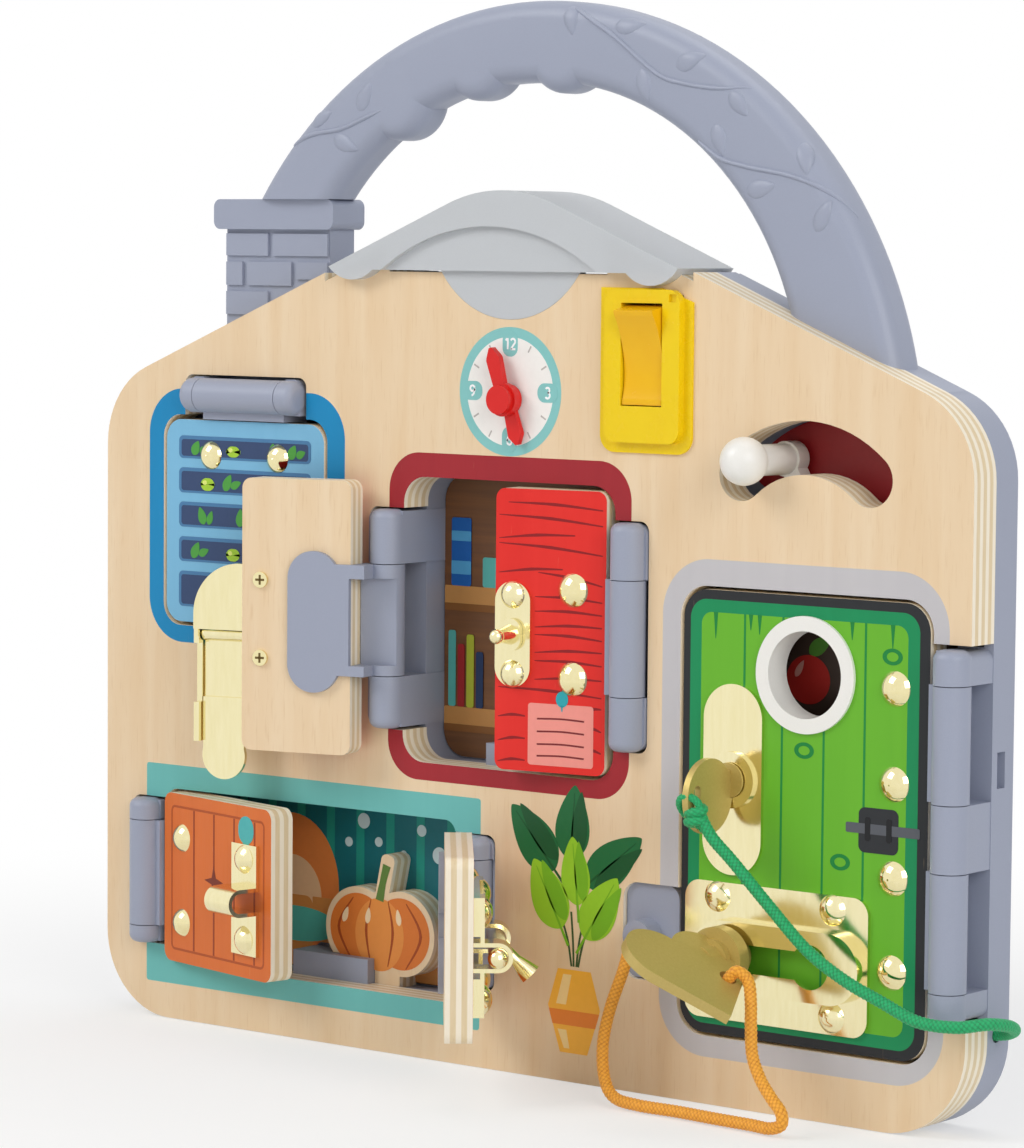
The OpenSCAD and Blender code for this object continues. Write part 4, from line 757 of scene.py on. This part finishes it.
prints(
    board, "board",
    ("plant_stalks", "#3F5A33", 0,
     *[line([(26.5 + 0.4 * d, 34), (26.5 + d, 42), (26.5 + 2.2 * d, 50)], 0.7)
       for d in (-2.6, -0.6, 1.8, 3.4)]),
    ("pot", "#FFBE42", 0,
     straight([(20.5, 33), (32.5, 33), (36, 22), (31.5, 8.5), (21.5, 8.5), (17, 22)])),
    ("pot_band", "#F08A30", 1, straight([(17.3, 21), (35.7, 21), (34.3, 16.6), (18.7, 16.6)])),
    ("pot_light", "#FFDF9A", 1,
     straight([(22.5, 31.5), (25.5, 31.5), (23.6, 22.6), (20.0, 22.6)]),
     straight([(20.6, 15.2), (23.8, 15.2), (25.0, 9.8), (23.0, 9.8)])))

# %% [markdown]
# ## The shutter
# Five printed gaps between bars. Behind them grow round bushes and pointed leaves against a night
# blue, and the bars round each gap throw a mid blue shade.

# %% Shutter print
GAPS = [(176.0, 183.0), (165.3, 173.1), (154.7, 162.5), (144.0, 151.7), (130.0, 141.0)]
GAP_X0, GAP_X1 = -129.5, -75.5
night, shade, bushes, leaves, glints = [], [], [], [], []
for k, (z0, z1) in enumerate(GAPS):
    night.append(box(GAP_X0, GAP_X1, z0, z1, 1.6))
    lit = box(GAP_X0 + 1.0, GAP_X1 - 1.0, z0 + 0.7, z1 - 1.1, 1.0)
    shade.append(("band", lit, night[-1]))
    high, middle, foot = z1 - z0 - 2.2, (z0 + z1) / 2 - 0.2, z0 + 0.9
    for m in range(4):
        x = GAP_X0 + 7.0 + 13.2 * m + 2.6 * ((k * 2 + m) % 3)
        if (k + m) % 3 == 1:
            bushes.append(box(x - 3.2, x + 2.6, foot, foot + 0.7 * high, 2.4))
            glints.append(oval(x - 1.4, foot + 0.45 * high, 0.9, 0.7))
        else:
            tilt = 62 + 24 * ((k + 2 * m) % 3)
            leaves += [leaf(x, middle, min(high, 6.6), 3.2, tilt),
                       leaf(x + 3.4, middle - 0.5, min(high * 0.8, 5.4), 2.4, tilt - 40)]
prints(
    board, "shutter",
    ("shutter_night", "#35496F", 0, *night), ("shutter_shade", "#4C7FAB", 1, *shade),
    ("shutter_bushes", "#A9D23A", 2, *bushes), ("shutter_leaves", "#4FA042", 2, *leaves),
    ("shutter_glints", "#E4F07E", 3, *glints))

# %% [markdown]
# ## The red door
# Its ink shows old planks: twenty thin dark lines that lean a little and taper to nothing. A pink
# note hangs under a teal pin.

# %% Red door print
GRAIN_LINES = [  # height at the hinge side and at the free side, then from where to where
    (167.0, 168.5, 9, 40), (162.5, 164.8, 9, 43), (159.5, 158.0, 18, 43), (154.0, 156.6, 9, 43),
    (149.6, 148.0, 22, 43), (145.2, 148.5, 9, 30), (140.5, 141.4, 9, 31), (136.8, 137.2, 9, 31),
    (133.2, 132.6, 9, 31), (129.5, 130.4, 9, 31), (126.0, 125.2, 9, 31), (122.2, 122.8, 9, 31),
    (118.0, 117.4, 9, 31), (113.0, 114.6, 9, 43), (109.8, 108.8, 9, 14), (106.5, 106.0, 34, 43),
    (103.2, 103.9, 9, 14), (100.0, 99.0, 34, 43), (97.0, 97.6, 9, 14), (93.6, 92.9, 34, 43)]
prints(
    red_face, "window_right",
    ("red_door_grain", "#8E1A1E", 0,
     *[line([(u0, z0), ((u0 + u1) / 2, (z0 + z1) / 2 + 0.5), (u1, z1)], (0.35, 0.9, 0.2))
       for z0, z1, u0, u1 in GRAIN_LINES]),
    ("note", "#F59A8F", 1, box(11.5, 33.0, 92.5, 110.5, 1.0)),
    ("note_lines", "#7A2A2C", 2,
     *[line([(14.5, z), (22, z + 0.3), (30, z)], 0.5) for z in (106.0, 102.3, 98.6, 95.2)]),
    ("note_pin", "#2FA7B4", 3, oval(21.8, 112.0, 2.0, 2.3),
     line([(21.8, 110.2), (21.8, 109.2), (21.8, 108.4)], (0.8, 0.2))))

# %% [markdown]
# ## The left window door
# Its inner side shows the ends of the two brass screws; each has a dark cross, painted shade for
# its shaded cross slot.

# %% Screw crosses, painted shade
SCREW_U, SCREWS_W = 37.7, (118.5, 142.0)      # from the hinge, and upwards
CROSS_LONG, CROSS_WIDE = 1.5, 0.35            # half a bar's length and width
CROSS_LOW, CROSS_HIGH = 0.905, 0.95           # the screw ends stand 0.9 mm proud
bars = [box(SCREW_U - a, SCREW_U + a, w - b, w + b, 0.15) for w in SCREWS_W
        for a, b in ((CROSS_LONG, CROSS_WIDE), (CROSS_WIDE, CROSS_LONG))]
cross_shades = [skin([window_left_in(*bar.T, h) for h in (CROSS_LOW, CROSS_HIGH)]) for bar in bars]
# painted shade: a dark film on each screw end where its cross slot would lie in shadow
add_piece("print_window_screw_cross_shades", cross_shades, ink("#6B5626"), "window_left")
print("screw cross bars", len(bars))

# %% [markdown]
# ## The orange door
# A fine border, four lines between planks, a four-pointed star and a teal mark above the staple.

# %% Orange door print
star_turn, star_reach = np.arange(8) * np.pi / 4, np.tile((5.0, 1.5), 4)
star = np.stack([35.4 + star_reach * np.cos(star_turn), 46.5 + star_reach * np.sin(star_turn)], -1)
prints(
    orange_face, "cupboard_left",
    ("orange_door_border", "#B4501C", 0,
     ("band", box(12.9, 61.5, 23.3, 67.3, 1.3), box(12.2, 62.2, 22.6, 68.0, 2.0))),
    ("orange_door_planks", "#9C3F17", 0,
     *[line([(u, 23.4), (u, 45), (u, 67.2)], 0.8) for u in (24.6, 35.4, 46.2, 57.0)]),
    ("orange_door_ornament", "#7A2D14", 1, straight(star, 4)),
    ("orange_door_mark", "#4FB5B5", 1, box(48.5, 56.5, 60.0, 68.6, 3.9)))

# %% [markdown]
# ## The green door
# Planks, knots, splits that run down from the top edge, and a printed black bolt.

# %% Green door print
PLANKS = [(85.5, 26.8, 140.2), (98.5, 26.8, 110.9), (98.5, 138.3, 140.2), (112.5, 26.8, 110.2),
          (126.0, 26.8, 140.2)]
KNOTS = (134.8, 131.5), (106.0, 103.5), (118.5, 73.5)
SPLITS = (75.5, 7.5), (87.5, 4.5), (90.5, 5.5), (121.5, 5.0), (134.8, 6.6)
TOP = 140.3                       # where the splits start
prints(
    board, "door",
    ("green_planks", "#1E8A3E", 0,
     *[line([(x, z0), (x, (z0 + z1) / 2), (x, z1)], 0.7) for x, z0, z1 in PLANKS]),
    ("green_knots", "#17833B", 0,
     *[("band", oval(x, z, 1.9, 1.3), oval(x, z, 3.3, 2.3)) for x, z in KNOTS],
     *[line([(x, TOP), (x, TOP - long / 2), (x, TOP - long)], (1.5, 0.15))
       for x, long in SPLITS]),
    ("bolt_plate_print", "#2A2C30", 1, box(124.5, 137.5, 77.0, 89.5, 2.0)),
    ("bolt_bar_print", "#5A5D64", 2, box(120.3, 144.5, 82.2, 85.0, 0.5)),
    ("bolt_straps_print", "#17181B", 3,
     *[box(x - 0.9, x + 0.9, 80.2, 86.9, 0.8) for x in (127.5, 134.5)]))

# %% [markdown]
# ## Behind the doors
# Printed cards close the rooms. The window room shows two shelves with tins and thin jars, the
# cupboard a striped wall with round hills, and the green door's porthole an apple on a dark
# ground.

# %% Window room card
card = flat_face(19.3)            # the cards' printed side
LOWER = 104.0                     # top of the lower shelf
UPPER = LOWER + 36.5


def across_room(down, up, r):
    """For each shelf a box as wide as the room, between two heights below the shelf's top."""
    return [box(-38.6, 39.6, shelf - down, shelf - up, r) for shelf in (UPPER, LOWER)]


def stand(shelf, *rows):
    """Boxes x0, x1 and height that stand on a shelf."""
    return [box(x0, x1, shelf, shelf + tall, 0.8) for x0, x1, tall in rows]


prints(
    card, "board",
    ("shelf_boards", "#C79052", 0, *across_room(6.0, 0.0, 0.6)),
    ("shelf_shades", "#8A5A2C", 1, *across_room(7.5, 5.3, 0.4)),
    ("tins_blue", "#1E63B4", 2, *stand(UPPER, (-36, -28.5, 20.5), (-9, 1, 14.5)),
     *stand(LOWER, (-19, -16.2, 21))))
labels = [box(-36, -28.5, UPPER + low, UPPER + high, 0.3)
          for low, high in ((3.5, 7.5), (13.5, 16.5))]
sky_tins = [film(*stand(UPPER, (4, 12, 17)), card, 2), *[film(label, card, 3) for label in labels]]
add_piece("print_tins_sky", sky_tins, ink("#58A9DB"), "board")
prints(
    card, "board",
    ("jars_teal", "#5DB7B0", 2, *stand(UPPER, (-24, -12, 9)), *stand(LOWER, (-37, -34.2, 23))),
    ("jars_red", "#A82A2C", 2, *stand(LOWER, (-33.4, -30.8, 19), (-8, -4.6, 24))),
    ("jars_lime", "#B5BE3A", 2, *stand(LOWER, (-30, -27.2, 22), (-14.6, -11.8, 18))),
    ("jars_navy", "#26395F", 2, *stand(LOWER, (-26.4, -23.6, 17), (-3.4, 0, 21))))

# %% Cupboard and porthole cards
STRIPES = -121, -109, -97, -85, -73, -61, -49, -37, -26
DOTS = ((-70, 66, 2.4), (-64, 60, 1.5), (-76, 59, 1.5), (-47, 65, 1.8), (-40, 58, 2.6),
        (-32, 66, 1.6), (-54, 57, 1.3), (-119, 64, 2.0), (-126, 56, 1.5))
APPLE_X, APPLE_Z = 94.0, 121.0
prints(
    card, "board",
    ("cupboard_wall", "#177079", 0, box(-133.6, -18.6, 40, 72.2, 3.0)),
    ("cupboard_stripes", "#23998A", 1, *[box(x, x + 3.2, 40, 72.0, 0.2) for x in STRIPES]),
    ("cupboard_hill", "#EE8C48", 2, oval(-99, 44, 19, 22)),
    ("cupboard_hill_inner", "#F6CB9E", 3, oval(-99, 40, 12, 13)),
    ("cupboard_floor", "#DE9650", 4, box(-133.6, -90.5, 18.4, 40.5, 3.0),
     box(-57.6, -18.6, 18.4, 40.5, 3.0), box(-90.6, -57.4, 26.6, 40.5, 0.3)),
    ("cupboard_mat", "#5CC6BA", 5, oval(-97, 31.5, 17, 5.5)),
    ("cupboard_dots", "#CFE3E6", 2, *[oval(*dot) for dot in DOTS]),
    ("porthole_ground", "#4A3B33", 0, oval(100, 124, 28)),
    ("porthole_apple", "#C8322C", 1, oval(APPLE_X, APPLE_Z, 7.4, 7.0)),
    ("porthole_leaf", "#5E9A3C", 2, leaf(APPLE_X + 4, APPLE_Z + 10, 9, 4.4, 35)),
    ("porthole_shine", "#E9A79B", 2, leaf(APPLE_X - 3, APPLE_Z + 3, 5.5, 2.0, 60)))

# %% [markdown]
# ## The wooden figure
# A plywood cut-out stands in the cupboard: a ribbed pumpkin with a bent stalk.

# %% Figure print
FIG_X, FIG_Z = -57.0, 34.0
prints(
    flat_face(11.5), "board",
    ("pumpkin_sides", "#DE7B33", 0, *[oval(FIG_X + d, FIG_Z, 11.2, 11.0) for d in (-8.5, 8.5)]),
    ("pumpkin_middle", "#EC9547", 1, oval(FIG_X, FIG_Z - 1, 9.6, 11.2)),
    ("pumpkin_ribs", "#A94B1F", 2,
     *[line([(FIG_X + out * d, FIG_Z + z) for out, z in ((1, 9.5), (1.55, 0), (1, -10.5))],
            (0.3, 1.0, 0.3)) for d in (-10.5, -3.4, 3.4, 10.5)]),
    ("pumpkin_spots", "#F9DDB4", 3, *[leaf(FIG_X + x, FIG_Z + z, 5.0, 2.0, turn)
     for x, z, turn in ((-13.5, 4, 70), (-4.5, 4.5, 82), (7.5, 5, 100))]),
    ("pumpkin_stalk", "#5E7F3A", 2,
     line([(FIG_X, FIG_Z + 9.5), (FIG_X + 1.2, FIG_Z + 15), (FIG_X + 2.8, FIG_Z + 20.5)],
          (3.2, 2.4, 3.0))))

# %% [markdown]
# ## The vine on the handle
# The handle is moulded with a climbing vine in low relief. A stem is a half-round carried along a
# smooth line; a leaf is a few outlines that shrink as they rise. Both are drawn flat and wrapped
# round the handle's rounded edges.

# %% Handle surface
EDGE, HANDLE_Y = 5.5, 6.5         # rounding of the handle's edges, and its face's depth, mm
MOST_BEND = 1.45                  # how far round an edge the surface is followed, radians
HANDLE_EDGES = (((3.0, 184.0), 124.0, 1), ((4.0, 197.4), 98.0, -1), ((-2.5, 197.4), 98.0, -1))


def handle_face(a, b, h):
    """An edge is a circle: its middle, its radius, and 1 where the surface bends outside it. Past
    an edge by s it bends by s / EDGE, with a point EDGE + h from the rounding's middle."""
    p = np.stack(np.broadcast_arrays(a, b), -1).astype(float)
    most, way = np.zeros(p.shape[:-1]), np.zeros(p.shape)
    for middle, limit, sign in HANDLE_EDGES:
        off = p - middle
        far = np.linalg.norm(off, axis=-1)
        past = sign * (far - limit)
        take = past > most
        way = np.where(take[..., None], sign * off / far[..., None], way)
        most = np.where(take, past, most)
    bend = np.minimum(most / EDGE, MOST_BEND)
    q = p + way * ((EDGE + h) * np.sin(bend) - most)[..., None]
    return to_frame(q[..., 0], HANDLE_Y + EDGE - (EDGE + h) * np.cos(bend), q[..., 1])


print("handle face at the crown", handle_face(0.0, 305.0, 0.0).round(4))

# %% Handle relief
SINK, RISE, STEM_WIDTH = 0.3, 0.7, 1.6      # roots below the surface, height above it, mm


def risen(sine):
    """Height above the handle: -sink + (rise + sink) sine."""
    return -SINK + (RISE + SINK) * sine


def relief_leaf(x, z, length, width, turn):
    """The outline shrinks by 0.94 (1 - cos) and lifts by sin, for angles from 0 to 84 degrees."""
    base = leaf(0, 0, length, width).T
    bends = np.radians(np.linspace(0, 84, 7))
    return skin([handle_face(*turned(*(base * (1 - 0.94 * (1 - math.cos(bend)))), x, z, turn).T,
                             risen(math.sin(bend))) for bend in bends])


def relief_stem(points):
    """Nine points of a half ellipse across a smooth line, which grows thinner at its ends."""
    line, across = flat_line(points, 8)
    taper = np.interp(np.linspace(0, 1, len(line)), (0, 0.15, 0.8, 1), (0.7, 1.0, 0.9, 0.35))
    taper, t = taper[:, None], np.linspace(0, np.pi, 9)[None, :]
    side = STEM_WIDTH / 2 * np.cos(t) * taper
    flat = line[:, None, :] + across[:, None, :] * side[..., None]
    return skin(handle_face(flat[..., 0], flat[..., 1], risen(np.sin(t) * taper)))


STEMS = [
    [(-90, 272.5), (-81, 275.5), (-70, 277), (-61, 280), (-54, 282.5)],
    [(18, 311), (25, 307), (34, 301.5), (48, 291.5), (58, 288.5), (70, 287), (80, 287.5)],
    [(62, 272), (70, 267.5), (80, 265), (92, 263), (101, 260.5), (110, 256.5), (116.5, 252.5)]]
RELIEF_LEAVES = [
    (-78, 280.5, 10, 5, 20), (-60.5, 286.5, 10, 5, 62), (-68, 272.5, 10.5, 5, -24),
    (17, 307.5, 9.5, 5, -82), (38, 305.5, 10.5, 5.2, 8), (43.5, 288, 10.5, 5, -78),
    (59.5, 295, 10.5, 5.2, 22), (76.5, 282.5, 9.5, 5, -48), (70, 272.5, 10, 5, -72),
    (84.5, 259, 10.5, 5.2, 12), (99, 267.5, 10.5, 5.4, -80), (105.5, 251.5, 10.5, 5, 62)]
relief = [*map(relief_stem, STEMS), *(relief_leaf(*row) for row in RELIEF_LEAVES)]
add_piece("handle_vine", relief, grey_abs, "board")
print("vine parts", len(relief))

# %% [markdown]
# ## The knot at the key
# The green cord is tied through the slot of the key's bow: a turn through the slot and a tight
# wrap beside it. It belongs to the key, so it turns with it.

# %% Key knot
KEY_X, KEY_Z = 82.5, 93.5
WRAP_TURNS, WRAP_PITCH = 2.25, 2.4


def wrap_path():
    """A short coil: (2.2 cos t, 0.8 2.2 sin t, pitch times the turns from half way)."""
    t = np.linspace(0, 2 * np.pi * WRAP_TURNS, int(40 * WRAP_TURNS))
    return np.stack([KEY_X + 1.6 + 2.2 * np.cos(t), -20.6 + 0.8 * 2.2 * np.sin(t),
                     KEY_Z - 8.6 + WRAP_PITCH * (t / (2 * np.pi) - WRAP_TURNS / 2)], -1)


def loop_path():
    """One turn through the slot: (3.3 cos t, 0.9 sin t cos t - 1.6 sin t, 3.4 sin t)."""
    t = np.linspace(0, 2 * np.pi, 60)[:-1]
    return np.stack([KEY_X + 3.3 * np.cos(t),
                     -20.9 + 0.9 * np.sin(t) * np.cos(t) - 1.6 * np.sin(t),
                     KEY_Z - 6.2 + 3.4 * np.sin(t)], -1)


coils = [braid(wrap_path(), 1.5, around=24), braid(loop_path(), 1.2, around=24)]
knot = add_piece("knot_green", [skin(coil[0]) for coil in coils], green_braid, "key")
keep_height(knot, [coil[1] for coil in coils])
print("knot points", len(knot.data.vertices))

# %% [markdown]
# ## Studio
# A plain pale floor that runs out into a white backdrop, a large soft key light from the left, a
# weaker fill from the right and one from above. The floor is real near the toy, so that it keeps
# the soft shadow, and turns into plain white further out.

# %% Floor
FLOOR_HALF, FLOOR_DROP = 4, 0.0002      # metres; just under the toy's foot
FADE_START, FADE_END = 0.12, 0.5        # from the frame's middle, metres
WHITE = "#FFFFFF"


def seen_rays(tree):
    """1 for camera, mirror and glass rays: the greatest of the three, each of which is 0 or 1."""
    rays = add(tree, "LightPath").outputs
    either = add(tree, "Math MAXIMUM", rays["Is Camera Ray"], rays["Is Glossy Ray"])
    return add(tree, "Math MAXIMUM", either, rays["Is Transmission Ray"])


def floor_finish():
    """Diffuse paper, half white light near the toy and all of it further out, where it is seen."""
    material, tree, shader = new_finish("paper floor")
    output = shader.outputs[0].links[0].to_node
    fill(tree, shader, Base_Color="#F7F7F7", Roughness=0.9)
    far = add(tree, "VectorMath LENGTH", add(tree, "TexCoord").outputs["Object"])
    fade = add(tree, "MapRange SMOOTHSTEP", far, FADE_START, FADE_END, 0.5, 1.0)
    glow = add(tree, "Emission", Color=WHITE, Strength=1.0)
    amount = add(tree, "Math MULTIPLY", fade, seen_rays(tree))
    fill(tree, output, add(tree, "MixShader", amount, shader, glow))
    return material


floor_mesh = bpy.data.meshes.new("floor")
corners = ((-1, -1), (1, -1), (1, 1), (-1, 1))
floor_mesh.from_pydata([(FLOOR_HALF * x, FLOOR_HALF * y, -FLOOR_DROP) for x, y in corners], [],
                       [(0, 1, 2, 3)])
floor_mesh.materials.append(floor_finish())
floor = put("floor", floor_mesh)
print("floor", 2 * FLOOR_HALF, "m wide")

# %% Lights
LIGHT_AIM = (0.0, 0.0, 0.13)            # a little under the toy's middle, metres


def soft_light(name, place, width, watts):
    """A square area light: back = place - aim, right = upright x back, both made unit long."""
    light = bpy.data.lights.new(name, "AREA")
    light.shape, light.size, light.energy = "SQUARE", width, watts
    back = unit(np.subtract(place, LIGHT_AIM))
    right = unit(np.cross([0, 0, 1], back))
    put(name, light).matrix_world = axes_matrix(right, np.cross(back, right), back, place)
    print(name, watts, "W")


soft_light("key light", (-1.1, -1.5, 1.5), 1.1, 21)
soft_light("fill light", (1.7, -0.9, 0.9), 1.2, 17)
soft_light("top light", (0.1, 0.5, 1.8), 1.2, 9)

# the world is white where it is seen, and lights the toy with three tenths of that
world = bpy.data.worlds.new("studio")
bpy.context.scene.world = world
world.use_nodes = True
sky = world.node_tree
sky.nodes.clear()
strength = add(sky, "MapRange", seen_rays(sky), 0.0, 1.0, 0.3, 1.0)
add(sky, "OutputWorld", add(sky, "Background", Color=WHITE, Strength=strength))
bpy.context.scene.view_settings.view_transform = "Standard"
